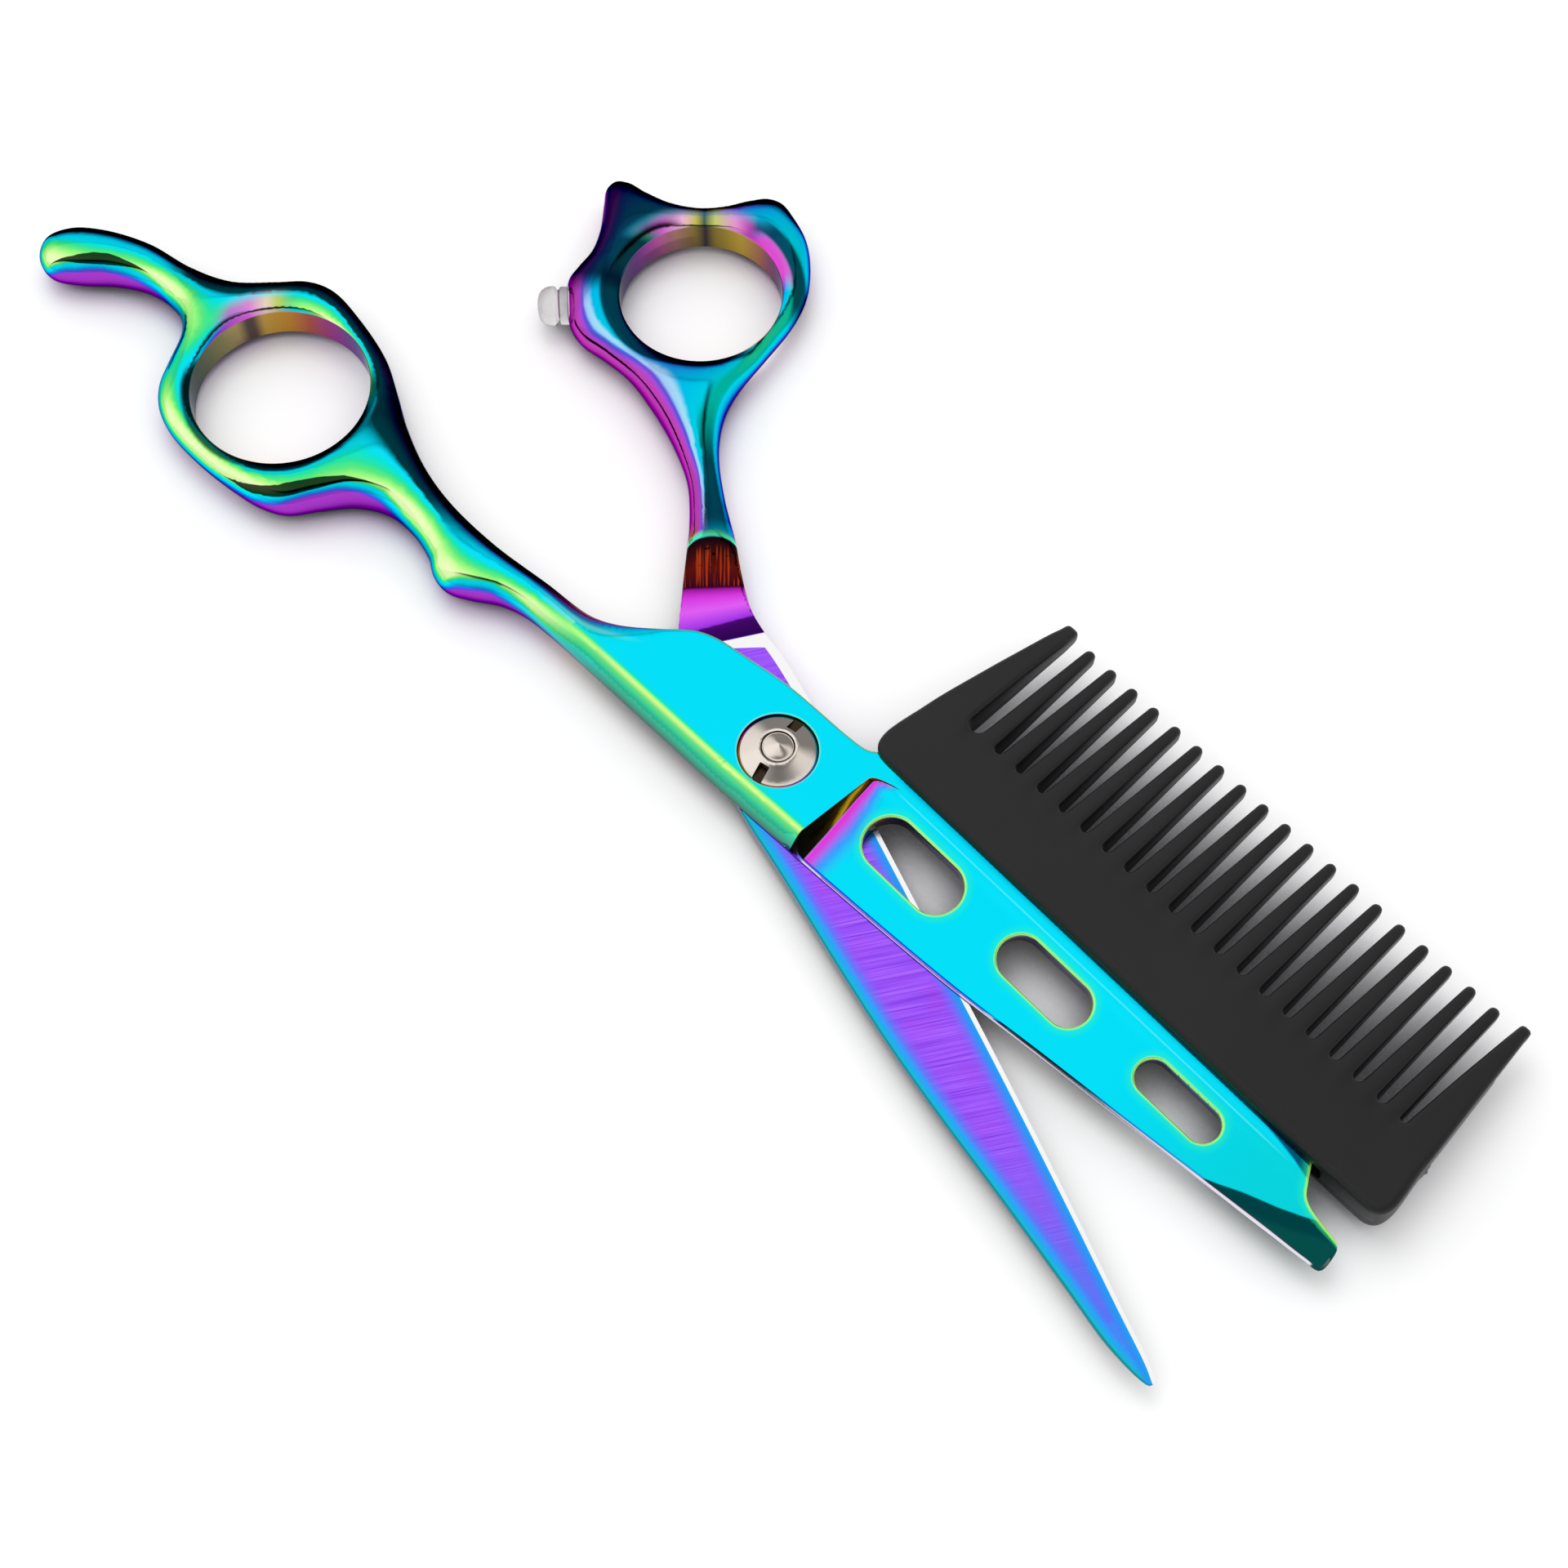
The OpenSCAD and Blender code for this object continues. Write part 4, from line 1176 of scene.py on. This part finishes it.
# Upper half: painted dark reflection on the tip, long bevel with a painted highlight band, step
# wall, ring wall, painted glow on the ring's far rim
TIP = [(0.0, (0.0, 0.12, 0.13)), (0.35, (0.0, 0.055, 0.065)), (0.7, (0.0, 0.09, 0.09)),
       (1.0, (0.02, 0.19, 0.14))]
BEVEL = [(0.0, (0.30, 0.42, 0.36)), (0.13, (0.25, 0.62, 0.52)), (0.33, (0.20, 0.80, 0.62)),
         (0.5, (0.42, 0.92, 0.52)), (0.63, (0.90, 1.0, 0.58)), (0.72, (0.60, 0.98, 0.50)),
         (0.82, (0.10, 0.88, 0.72)), (1.0, (0.0, 0.85, 0.95))]
STEP_WALL = [(0.0, (0.02, 0.02, 0.02)), (0.35, (0.07, 0.06, 0.02)), (0.5, (0.2, 0.15, 0.03)),
             (0.62, (0.75, 0.62, 0.1)), (0.7, (0.4, 0.24, 0.05)), (0.85, (0.25, 0.12, 0.06)),
             (1.0, (0.3, 0.1, 0.12))]
FINGER_WALL = [
    (0.0, (0.16, 0.30, 0.22)), (0.12, (0.50, 0.50, 0.30)), (0.27, (0.72, 0.62, 0.38)),
    (0.38, (0.78, 0.62, 0.22)), (0.5, (0.78, 0.55, 0.12)), (0.62, (0.72, 0.34, 0.26)),
    (0.75, (0.66, 0.18, 0.58)), (0.88, (0.40, 0.10, 0.62)), (1.0, (0.06, 0.04, 0.26))]
FINGER_GLOW = [(0.0, (0.62, 0.25, 0.75)), (0.4, (0.90, 0.40, 0.85)), (0.62, (0.95, 0.80, 0.75)),
               (0.8, (0.80, 0.75, 0.25)), (1.0, (0.2, 0.6, 0.6))]
# Lower half: brushed face, its back rim, its cutting rim, ramp with a painted dark reflection
# band, ring wall, painted glow
BRUSHED = [(0.25, (0.46, 0.20, 0.84)), (0.45, (0.60, 0.32, 0.97)), (0.58, (0.65, 0.37, 1.0)),
           (0.8, (0.74, 0.48, 1.0))]
BACK_RIM = [(0.0, (0.05, 0.50, 0.50)), (0.1, (0.12, 0.72, 0.82)), (0.26, (0.14, 0.66, 0.98)),
            (0.5, (0.30, 0.50, 0.98)), (0.85, (0.52, 0.34, 0.98))]
CUT_RIM = [(0.0, (0.10, 0.62, 0.98)), (0.5, (0.22, 0.42, 0.96)), (1.0, (0.48, 0.2, 0.9))]
RAMP = [(0.0, (0.16, 0.02, 0.30)), (0.2, (0.24, 0.03, 0.38)), (0.245, (0.30, 0.04, 0.45)),
        (0.26, (0.60, 0.20, 0.88)), (0.36, (0.86, 0.36, 0.94)), (0.44, (0.82, 0.22, 0.86)),
        (0.49, (0.62, 0.10, 0.62)), (0.505, (0.20, 0.02, 0.10)), (0.6, (0.34, 0.07, 0.05)),
        (0.68, (0.20, 0.05, 0.06)), (0.75, (0.07, 0.02, 0.06))]
THUMB_WALL = [
    (0.0, (0.10, 0.08, 0.30)), (0.1, (0.45, 0.15, 0.55)), (0.22, (0.72, 0.32, 0.62)),
    (0.34, (0.70, 0.50, 0.45)), (0.45, (0.55, 0.48, 0.16)), (0.52, (0.16, 0.12, 0.16)),
    (0.58, (0.55, 0.48, 0.14)), (0.74, (0.78, 0.66, 0.16)), (0.86, (0.70, 0.45, 0.30)),
    (0.94, (0.5, 0.12, 0.45)), (1.0, (0.08, 0.05, 0.25))]
THUMB_GLOW = [
    (0.0, (0.45, 0.10, 0.55)), (0.15, (0.88, 0.35, 0.85)), (0.32, (0.97, 0.70, 0.85)),
    (0.44, (0.80, 0.72, 0.20)), (0.52, (0.25, 0.25, 0.12)), (0.62, (0.80, 0.78, 0.30)),
    (0.8, (0.92, 0.55, 0.80)), (0.92, (0.75, 0.20, 0.65)), (1.0, (0.2, 0.1, 0.4))]
# Painted dark reflection crescents on the upper handle: x, y, reach in mm, width in facing
CRESCENTS = [(-112.0, -14.8, 8.0, 0.24), (-68.6, -16.8, 11.5, 0.26)]


def along(dx, dy, direction, length=1.0):
    return dx * (direction.x / length) + dy * (direction.y / length)


def bore_mask(x, y, centre, radius):
    """Mask of a round hole's wall, position toward RIGHT and FAR (-1..1), and radius in mm."""
    dx, dy = x - float(centre[0]), y - float(centre[1])
    reach = (dx * dx + dy * dy).math("SQRT")
    return (reach.ease(radius + 0.12, radius + 0.04), along(dx, dy, RIGHT, radius),
            along(dx, dy, FAR, radius), reach)


def upper_shift(far, right):
    """Colour shift on the upper handle where it faces the camera side or left."""
    near = (right.times_plus(0.35, far * -1.0) - 0.42).max(0.0) * 0.82
    left = (right * -1.0).max(0.0) * 0.19
    return left - near + 0.045


def lower_shift(far, right):
    near = (far * -1.0 - 0.55).max(0.0) * 0.5
    left = (right * -1.0 - 0.1).max(0.0) * 0.4
    return near * -1.0 - left


def film_colour_and_shade(g, stops, skew, shift, least, squeeze=None):
    """Coating colour from the angle between surface and eye, with painted shade on handle sides
    that face away, and the specular tint.

    skew leans the eye toward RIGHT and FAR; least is the lowest film value on the handle.
    """
    film = g.fac("film")
    geometry = g.add("NewGeometry")
    incoming = g.add("VectorMath", {0: geometry["Incoming"], 3: 0.35}, operation="SCALE")
    lean = TO_CAMERA * 0.65 + RIGHT * skew[0] + FAR * skew[1]
    eye = g.add("VectorMath", {0: incoming, 1: lean}, operation="ADD")
    eye = g.add("VectorMath", {0: eye}, operation="NORMALIZE")
    cosine = g.add("VectorMath", {0: eye, 1: geometry["Normal"]}, operation="DOT_PRODUCT")
    value = cosine["Value"] + g.noise(38, 1.5).times_plus(0.03, -0.015) + film
    hand = g.fac("hand")
    far, right = g.facing(FAR), g.facing(RIGHT)
    value = (value + shift(far, right) * hand).max(hand * least)
    if squeeze is not None:
        value = value * squeeze
    colour = g.ramp(stops, value)
    # painted shade: handle sides that face away are turned dark blue, and their specular tint is
    # darkened
    far_side_shade = far.ease(0.13, 0.36) * hand
    side_tint = g.mix(far.ease(0.25, 0.5), (0.45, 0.38, 0.62), (0.03, 0.04, 0.12))
    tint = g.mix(hand * 0.9, (1.0, 1.0, 1.0), side_tint)
    return g.mix(far_side_shade, colour, (0.005, 0.02, 0.10)), tint


def coated_metal(g, colour, tint, bore, roughness, **more):
    """Metal that is less metallic on the wall of the ring hole."""
    return g.finish(g.add("BsdfPrincipled", {
        "Base Color": colour, "Specular Tint": tint, "Metallic": 1.0 - bore * 0.6,
        "Roughness": roughness, **more}))


def rainbow_upper():
    g = new_material("rainbow_upper")
    colour, tint = film_colour_and_shade(g, UPPER_FILM, skew=(-0.28, 0.02), shift=upper_shift,
                               least=0.44, squeeze=FILM_SQUEEZE)
    zone, across = g.fac("zone"), g.fac("across")
    x, y = g.place()
    step_wall = zone.ease(-0.02, 0.03) * zone.ease(1.0, 0.93) * x.ease(8.6, 8.8) * y.ease(6.9, 6.6)
    # teal toward the tip, and painted dark reflection patches at the tip and the shoulder
    tip = g.fac("tip").ease(0.12, -0.10) * x.ease(67.5, 69.5)
    tip_colour = g.ramp(TIP, g.fac("tip").times_plus(-0.42, 0.0))
    colour = g.mix(x.ease(52.0, 78.0) * y.ease(7.5, 6.0) * 0.5, colour, (0.05, 0.76, 0.72))
    colour = g.mix(tip * 0.93, colour, tip_colour)
    shoulder = (g.fac("shoulder").ease(-0.2, 0.2) * x.ease(62.0, 72.0) * x.ease(79.5, 78.0)
                * y.ease(5.6, 6.2))
    colour = g.mix(shoulder * 0.9, colour, (0.0, 0.14, 0.32))
    # painted reflection of the black comb on the land beside it, and a painted highlight line
    # where the ground face meets the land
    lip = y.ease(7.0, 8.3) * x.ease(11.0, 14.0) * x.ease(76.0, 70.0)
    colour = g.mix(lip * 0.68, colour, (0.0, 0.38, 0.64))
    line = y.ease(6.22, 6.32) * y.ease(6.52, 6.42) * x.ease(13.0, 16.0) * x.ease(76.0, 70.0)
    colour = g.mix(line * 0.35, colour, (0.45, 0.97, 1.0))
    # long bevel of the block: coating colours with a painted highlight band
    edge = g.fac("edge")
    bevel = g.fac("bevel") * x.ease(10.0, 9.6) * edge.ease(2.9, 2.5)
    colour = g.mix(bevel, colour, g.ramp(BEVEL, edge * 0.345))
    # painted foot of the step and the streaked step wall
    streak = g.noise(700, 3).times_plus(0.12, -0.06)
    wall_colour = g.ramp(STEP_WALL, zone * 0.35 + across.times_plus(0.058, 0.33) + streak)
    paint = g.add("Attribute", attribute_name="paint")
    colour = g.mix(paint["Alpha"], colour, paint["Color"])
    colour = g.mix(step_wall, colour, wall_colour)
    # bright cutting bevel: bare steel, painted near white as a highlight
    strip = g.fac("strip").ease(0.03, -0.03) * x.ease(10.4, 10.8) * x.ease(84.7, 84.3)
    colour = g.mix(strip, colour, (0.9, 0.87, 0.9))
    # painted highlights on the edges of the block and of the holes, with a painted green glow
    # round them
    block_rim = (edge.ease(0.34, 0.10) * (1.0 - g.fac("bevel")) * (1.0 - g.fac("hand"))
                 * x.ease(9.6, 9.0))
    hole_rim = g.fac("rim").ease(0.46, 0.12) * g.facing(UP).ease(0.35, 0.6)
    hole_rim = (hole_rim * x.ease(7.0, 9.0)).max(hole_rim * 0.45)
    colour = g.mix(block_rim * 0.85, colour, (0.55, 0.86, 0.30))
    halo = g.fac("rim").ease(1.5, 0.2) * x.ease(10.5, 12.0) * 0.4
    colour = g.mix(halo, colour, (0.18, 0.95, 0.62))
    colour = g.mix(hole_rim * 0.9, colour, (0.74, 1.0, 0.40))
    # painted dark reflection crescents where the round handle turns over, and a painted dark
    # reflection on its far flank
    hand = g.fac("hand")
    far, right = g.facing(FAR), g.facing(RIGHT)
    over = right.times_plus(0.35, far * -1.0)
    for centre_x, centre_y, half, width in CRESCENTS:
        dx, dy = x - centre_x, y - centre_y
        reach = (dx * dx + dy * dy).math("SQRT")
        lens = (reach.ease(half, 0.0) * width - (over - 0.43).abs()).ease(0.0, 0.03)
        colour = g.mix(lens * 0.95 * hand, colour, (0.0, 0.06, 0.04))
    flank = (right.times_plus(0.55, far).ease(0.035, 0.14) * hand * x.ease(-107.0, -101.0)
             * x.ease(-44.0, -56.0))
    colour = g.mix(flank * 0.94, colour, (0.0, 0.055, 0.07))
    # wall of the finger ring, with a dark line left of its far middle
    bore, bore_right, bore_far, reach = bore_mask(x, y, FINGER_RING, FINGER_R)
    wall_dark_line = (bore_right - -0.42).abs().ease(0.16, 0.02) * bore_far.ease(0.3, 0.5)
    inner = g.ramp(FINGER_WALL, bore_right.times_plus(0.5, 0.5))
    inner = g.mix(wall_dark_line * 0.85, inner, (0.10, 0.07, 0.20))
    colour = g.mix(bore, colour, inner)
    # painted dark reflection band on the near rim, painted glow on the far rim
    band = reach.ease(FINGER_R + 1.4, FINGER_R + 0.8) * (1.0 - bore) * bore_far.ease(0.35, 0.0)
    colour = g.mix(band * 0.85 * hand, colour, (0.0, 0.10, 0.11))
    glow = (reach.ease(FINGER_R + 3.4, FINGER_R + 1.2) * (1.0 - bore) * bore_far.ease(0.5, 0.8)
            * bore_right.ease(-0.85, -0.6) * bore_right.ease(0.2, -0.2))
    glow_colour = g.ramp(FINGER_GLOW, bore_right.times_plus(1.2, 0.9))
    colour = g.mix(glow * 0.85, colour, glow_colour)
    roughness = g.noise(900, 3).times_plus(0.03, 0.05) + step_wall * 0.12
    roughness = roughness + block_rim.max(hole_rim) * 0.3
    return coated_metal(g, colour, tint, bore, roughness)


def thumb_ring_bands(g, colour, bore, bore_far, reach, x, y, centre):
    """Painted glow, painted dark reflection bands and lines round the thumb ring's hole and along
    the shank.
    """
    glow = (reach.ease(THUMB_R + 3.4, THUMB_R + 1.0) * (1.0 - bore) * bore_far.ease(0.72, 0.92))
    # painted dark reflection on the shoulder on the far left
    dx, dy = (x - float(centre[0])) / reach, (y - float(centre[1])) / reach
    far_left = along(dx, dy, RIGHT * -0.643 + FAR * 0.766)
    shoulder = (far_left.ease(0.60, 0.78) * (1.0 - bore)
                * reach.ease(THUMB_R + 8.0, THUMB_R + 6.0) * (1.0 - glow))
    shoulder = shoulder.max(far_left.ease(0.60, 0.84) * reach.ease(THUMB_R + 2.6, THUMB_R + 3.6)
                            * (1.0 - glow) * (g.facing(RIGHT) * -1.0).ease(0.95, 0.75))
    turn_right = along(dx, dy, RIGHT)
    turn_far = along(dx, dy, FAR)
    glow_colour = g.ramp(THUMB_GLOW, g.bore_right.times_plus(0.72, 0.5))
    colour = g.mix(glow * 0.9, colour, glow_colour)
    colour = g.mix(shoulder * 0.93 * g.fac("hand"), colour, (0.02, 0.06, 0.20))
    # painted dark reflection band on the near side; painted dark reflection band and a magenta
    # line on the right
    hand = g.fac("hand")
    off_bore = 1.0 - bore
    near_band = (turn_right.times_plus(1.1, reach).ease(THUMB_R + 1.7, THUMB_R + 1.1) * off_bore
                 * turn_far.ease(0.45, 0.1) * turn_right.ease(0.8, 0.45))
    colour = g.mix(near_band * 0.92 * hand, colour, (0.01, 0.05, 0.17))
    right_band = (reach.ease(THUMB_R + 1.0, THUMB_R + 1.6)
                  * reach.ease(THUMB_R + 3.5, THUMB_R + 2.8)
                  * turn_right.ease(0.5, 0.75) * turn_far.ease(-0.45, -0.1))
    colour = g.mix(right_band * 0.88 * hand, colour, (0.02, 0.07, 0.22))
    right_line = (reach.ease(THUMB_R + 1.7, THUMB_R + 1.1) * off_bore
                  * turn_right.ease(0.35, 0.6) * turn_far.ease(0.0, 0.3) * (1.0 - glow))
    colour = g.mix(right_line * 0.9 * hand, colour, (0.88, 0.30, 0.80))
    # painted pale highlight and painted dark reflection stripe along the shank
    travel = g.fac("along")
    right = g.facing(RIGHT)
    turned = travel.ease(27.0, 13.5).times_plus(0.34, right)
    glint = (right.ease(-0.34, -0.24) * right.ease(-0.06, -0.16) * travel.ease(13.5, 16.0)
             * reach.ease(THUMB_R + 1.8, THUMB_R + 2.8) * turn_far.ease(0.1, -0.2))
    colour = g.mix(glint * 0.5 * hand, colour, (0.85, 0.98, 1.0))
    stripe = (travel.ease(12.6, 14.0) * travel.ease(34.0, 24.0) * turned.ease(0.02, 0.14)
              * right.ease(0.85, 0.62) * hand)
    return g.mix(stripe * 0.9, colour, (0.01, 0.06, 0.16))


def rainbow_lower():
    g = new_material("rainbow_lower")
    colour, tint = film_colour_and_shade(g, LOWER_FILM, skew=(0.42, 0.0), shift=lower_shift, least=0.32)
    flat, back, cut = g.fac("flat"), g.fac("back"), g.fac("cutd")
    # brushed purple face that turns blue toward the tip
    coords = g.coords()
    grain = g.brushed(coords, degrees=-31, scale=(4200, 60), detail=3.0)
    face = g.ramp(BRUSHED, grain)
    face = g.mix(g.noise(160, 2).ease(0.5, 0.75) * 0.35, face, (0.70, 0.25, 0.86))
    from_x, from_y = g.place()
    from_pivot = (from_x * from_x + from_y * from_y).math("SQRT")
    face = g.mix(from_pivot.ease(48.0, 82.0) * 0.8, face, (0.20, 0.48, 0.96))
    face = g.mix(from_pivot.ease(76.0, 84.0) * 0.7, face, (0.08, 0.62, 0.78))
    face = g.mix(back.ease(3.4, 0.7), face, g.ramp(BACK_RIM, back * 0.32))
    cut_rim = g.ramp(CUT_RIM, cut.times_plus(0.5, -0.25))
    face = g.mix(cut.ease(1.7, 0.8) * 0.55, face, cut_rim)
    colour = g.mix(flat.ease(0.45, 0.55), colour, face)
    # ramp from the ride face up to the round shank, with a painted dark reflection band low on it,
    # and a painted highlight on its far rim
    zone = g.fac("zone")
    quarter = zone * 0.25
    streak = g.brushed(coords, degrees=46.6, scale=(3400, 130), detail=2.0)
    streaks = streak.ease(0.52, 0.66) * quarter.ease(0.5, 0.52) * quarter.ease(0.72, 0.66)
    ramp_colour = g.mix(streaks, g.ramp(RAMP, quarter), (0.62, 0.2, 0.08))
    colour = g.mix(zone.ease(-0.03, 0.03) * zone.ease(3.02, 2.97), colour, ramp_colour)
    colour = g.mix(zone.ease(2.97, 3.03) * zone.ease(3.2, 3.05), colour, (0.35, 0.95, 0.70))
    # bright strip along the cutting edge: bare steel, painted near white as a highlight
    strip = g.fac("strip").ease(0.03, -0.03) * zone.ease(-0.01, -0.05) * flat.ease(0.02, 0.2)
    colour = g.mix(strip, colour, (0.97, 0.97, 0.97))
    # wall of the thumb ring
    x, y = g.place()
    centre = turn([THUMB_RING], -OPEN)[0]
    bore, g.bore_right, bore_far, reach = bore_mask(x, y, centre, THUMB_R)
    colour = g.mix(bore, colour, g.ramp(THUMB_WALL, g.bore_right.times_plus(0.5, 0.5)))
    colour = thumb_ring_bands(g, colour, bore, bore_far, reach, x, y, centre)
    brushing = g.bump(grain, flat * (1.0 - strip) * 0.35)
    roughness = g.noise(900, 3).times_plus(0.03, 0.05) + flat * 0.2
    return coated_metal(g, colour, tint, bore, roughness, Normal=brushing)


# ------------------------------------------------------------------ other materials


def turned_steel():
    """Steel with fine rings about Z, with painted shade in the slots and on the far side."""
    g = new_material("turned_steel_mat")
    split = g.add("SeparateXYZ", {0: g.coords()})
    flat = g.add("CombineXYZ", {0: split[0], 1: split[1]})
    radius = g.add("VectorMath", {0: flat}, operation="LENGTH")["Value"]
    rings = g.noise(14000, 2, g.add("CombineXYZ", {0: radius}))
    colour = g.mix(g.fac("dark"), (0.92, 0.88, 0.84), (0.22, 0.18, 0.14))
    shade = g.facing(FAR * 0.86 + RIGHT * 0.5).smooth(0.05, 0.3, high=0.8)
    return g.finish(g.add("BsdfPrincipled", {
        "Base Color": g.mix(shade, colour, (0.34, 0.32, 0.31)),
        "Metallic": 1.0,
        "Anisotropic": 0.6,
        "Roughness": rings.between(0.16, 0.28),
        "Normal": g.bump(rings, 0.12),
        "Tangent": g.add("Tangent", direction_type="RADIAL", axis="Z")}))


def black_plastic():
    g = new_material("black_plastic_mat")
    coords = g.coords()
    grain = g.noise(5200, 2, coords)
    cloud = g.noise(60, 3, coords)
    return g.finish(g.add("BsdfPrincipled", {
        "Base Color": g.ramp([(0.3, (0.07, 0.07, 0.075)), (0.7, (0.09, 0.088, 0.09))], cloud),
        "Metallic": 0.0,
        "IOR": 1.4,
        "Specular IOR Level": 0.42,
        "Roughness": cloud.between(0.36, 0.44),
        "Normal": g.bump(grain, 0.25)}))


def clear_silicone():
    """Clear body with painted darkening toward its outline, standing in for the dark it refracts.
    """
    g = new_material("clear_silicone_mat")
    facing = g.add("LayerWeight", {0: 0.42})["Facing"]
    stops = [(0.0, (0.96, 0.96, 0.95)), (0.45, (0.90, 0.895, 0.885)),
             (0.75, (0.62, 0.61, 0.60)), (1.0, (0.42, 0.41, 0.40))]
    return g.finish(g.add("BsdfPrincipled", {
        "Base Color": g.ramp(stops, facing),
        "Transmission Weight": 0.9,
        "IOR": 1.45,
        "Roughness": g.noise(800).between(0.01, 0.05)}))


def clouded(name, colour, metallic, roughness, scale):
    """Plain colour with slight clouding of tone and roughness."""
    g = new_material(name)
    cloud = g.noise(scale)
    return g.finish(g.add("BsdfPrincipled", {
        "Base Color": g.ramp([(0.3, [c * 0.93 for c in colour]), (0.7, colour)], cloud),
        "Metallic": metallic,
        "Roughness": cloud.between(roughness * 0.85, roughness * 1.15)}))


def dress(node, material):
    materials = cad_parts[node].data.materials
    materials.clear()
    materials.append(material)


coating_upper = rainbow_upper()
coating_lower = rainbow_lower()
upper.data.materials.append(coating_upper)
lower.data.materials.append(coating_lower)
steel = turned_steel()
nut.data.materials.append(steel)
bolt.data.materials.append(steel)
comb.data.materials.append(black_plastic())
bumper.data.materials.append(clear_silicone())
dress("wave_washer", clouded("spring_steel_mat", colour=(0.72, 0.72, 0.73), metallic=1.0,
                             roughness=0.35, scale=900))
nylon = clouded("white_nylon_mat", colour=(0.93, 0.92, 0.88), metallic=0.0,
                roughness=0.45, scale=700)
dress("pivot_bushing", nylon)
dress("glide_washer", nylon)

# ------------------------------------------------------------------ stage

FLOOR_CELLS = 40
FLOOR_HALF = 0.75                    # metres
FLOOR_CENTRE = (3.7 * MM, -2.5 * MM, -3.62 * MM)
# Painted floor shade from closed-in (0) to open (1)
FLOOR_TONES = [(0.0, (0.16, 0.155, 0.19)), (0.17, (0.27, 0.262, 0.30)), (0.3, (0.62, 0.61, 0.64)),
               (0.42, (0.89, 0.885, 0.90)), (0.6, (0.935, 0.933, 0.938)),
               (0.85, (0.94, 0.94, 0.943))]


def floor_material():
    """White with a soft contact shadow and a faint glow."""
    g = new_material("floor_mat")
    openness = g.add("AmbientOcclusion", {"Distance": 0.011}, samples=12)["AO"]
    diffuse = g.add("BsdfDiffuse", {0: g.ramp(FLOOR_TONES, openness)})
    glow = g.add("Emission", {"Color": (1, 1, 1, 1), "Strength": 0.03})
    return g.finish(g.add("AddShader", {0: diffuse, 1: glow}))


def build_floor():
    cells, (x, y, z) = FLOOR_CELLS, FLOOR_CENTRE
    ticks = [-FLOOR_HALF + 2 * FLOOR_HALF * i / cells for i in range(cells + 1)]
    verts = [(across + x, up + y, z) for up in ticks for across in ticks]
    faces = []
    for j in range(cells):
        for i in range(cells):
            a = j * (cells + 1) + i
            faces.append([a, a + 1, a + cells + 2, a + cells + 1])
    mesh = bpy.data.meshes.new("white_floor")
    mesh.from_pydata(verts, [], faces)
    mesh.update()
    floor = bpy.data.objects.new("white_floor", mesh)
    bpy.context.scene.collection.objects.link(floor)
    mesh.materials.append(floor_material())
    floor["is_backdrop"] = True


def build_world():
    """Studio of soft white fields; the camera and diffuse surfaces see simpler skies."""
    world = bpy.data.worlds.new("studio")
    bpy.context.scene.world = world
    g = Graph(world)
    ray = g.add("TexCoord")["Generated"]
    far, right, z = [g.add("VectorMath", {0: ray, 1: axis}, operation="DOT_PRODUCT")["Value"]
                     for axis in (FAR, RIGHT, UP)]
    # degrees from the zenith toward FAR and toward RIGHT
    to_far = far.math("ARCTAN2", z) * (180 / math.pi)
    to_right = right.math("ARCTAN2", z) * (180 / math.pi)
    top = (to_far.smooth(44, 34) * to_far.smooth(-25, -19)
           * (to_right.smooth(27, 13) * to_right.smooth(-125, -105)))
    near = to_far.smooth(-40, -48) * z.smooth(-0.1, 0.02)
    left_light = ((right * -1.0).smooth(0.35, 0.6) * (z.smooth(0.08, 0.14) * z.smooth(0.85, 0.75)))
    right_light = right.smooth(0.6, 0.75) * (z.smooth(0.42, 0.5) * z.smooth(0.72, 0.64))
    # strengths of the lights, of the low surround and of the rest
    total = (top * 1.02 + near * 0.8).max(left_light * 0.9 + right_light * 0.5)
    total = total.max(z.smooth(0.86, 0.74) * 0.82) + 0.025
    sky = (z * 0.8 + far * 0.35).smooth(-0.2, 1.0).times_plus(1.18, 0.30)

    def background(strength, colour=(1, 1, 1, 1)):
        return g.add("Background", {"Color": colour, "Strength": strength})

    path = g.add("LightPath")
    seen = g.add("MixShader", {0: path["Is Camera Ray"], 1: background(total),
                               2: background(0.97, (0.97, 0.972, 0.976, 1))})
    g.finish(g.add("MixShader", {0: path["Is Diffuse Ray"], 1: seen, 2: background(sky)}),
             output="OutputWorld")


def place_aimed(name, data, location, target):
    """Add a light or camera that looks at the target."""
    thing = bpy.data.objects.new(name, data)
    bpy.context.scene.collection.objects.link(thing)
    thing.location = location
    thing.rotation_euler = (target - location).to_track_quat("-Z", "Y").to_euler()
    return thing


def build_key_light():
    light = bpy.data.lights.new("key", "AREA")
    light.shape = "DISK"
    light.size = 0.5
    light.energy = 1.2
    location = FAR * 0.28 - RIGHT * 0.12 + Vector((0, 0, 0.75))
    place_aimed("key", light, location, Vector((0, 0, 0))).visible_glossy = False


def build_camera():
    camera = bpy.data.cameras.new("camera")
    camera.lens = 63.75
    camera.sensor_width = 36
    camera.clip_start = 0.01
    scene = bpy.context.scene
    scene.camera = place_aimed("camera", camera, Vector((107.2, -100.5, 295.3)) * MM,
                               Vector((3.70, -2.52, 3.2)) * MM)
    scene.view_settings.view_transform = "Standard"
    scene.view_settings.look = "None"
    scene.view_settings.exposure = 0.0
    scene.view_settings.gamma = 1.0


build_floor()
build_world()
build_key_light()
build_camera()

size_note["visual"] = plain(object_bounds())
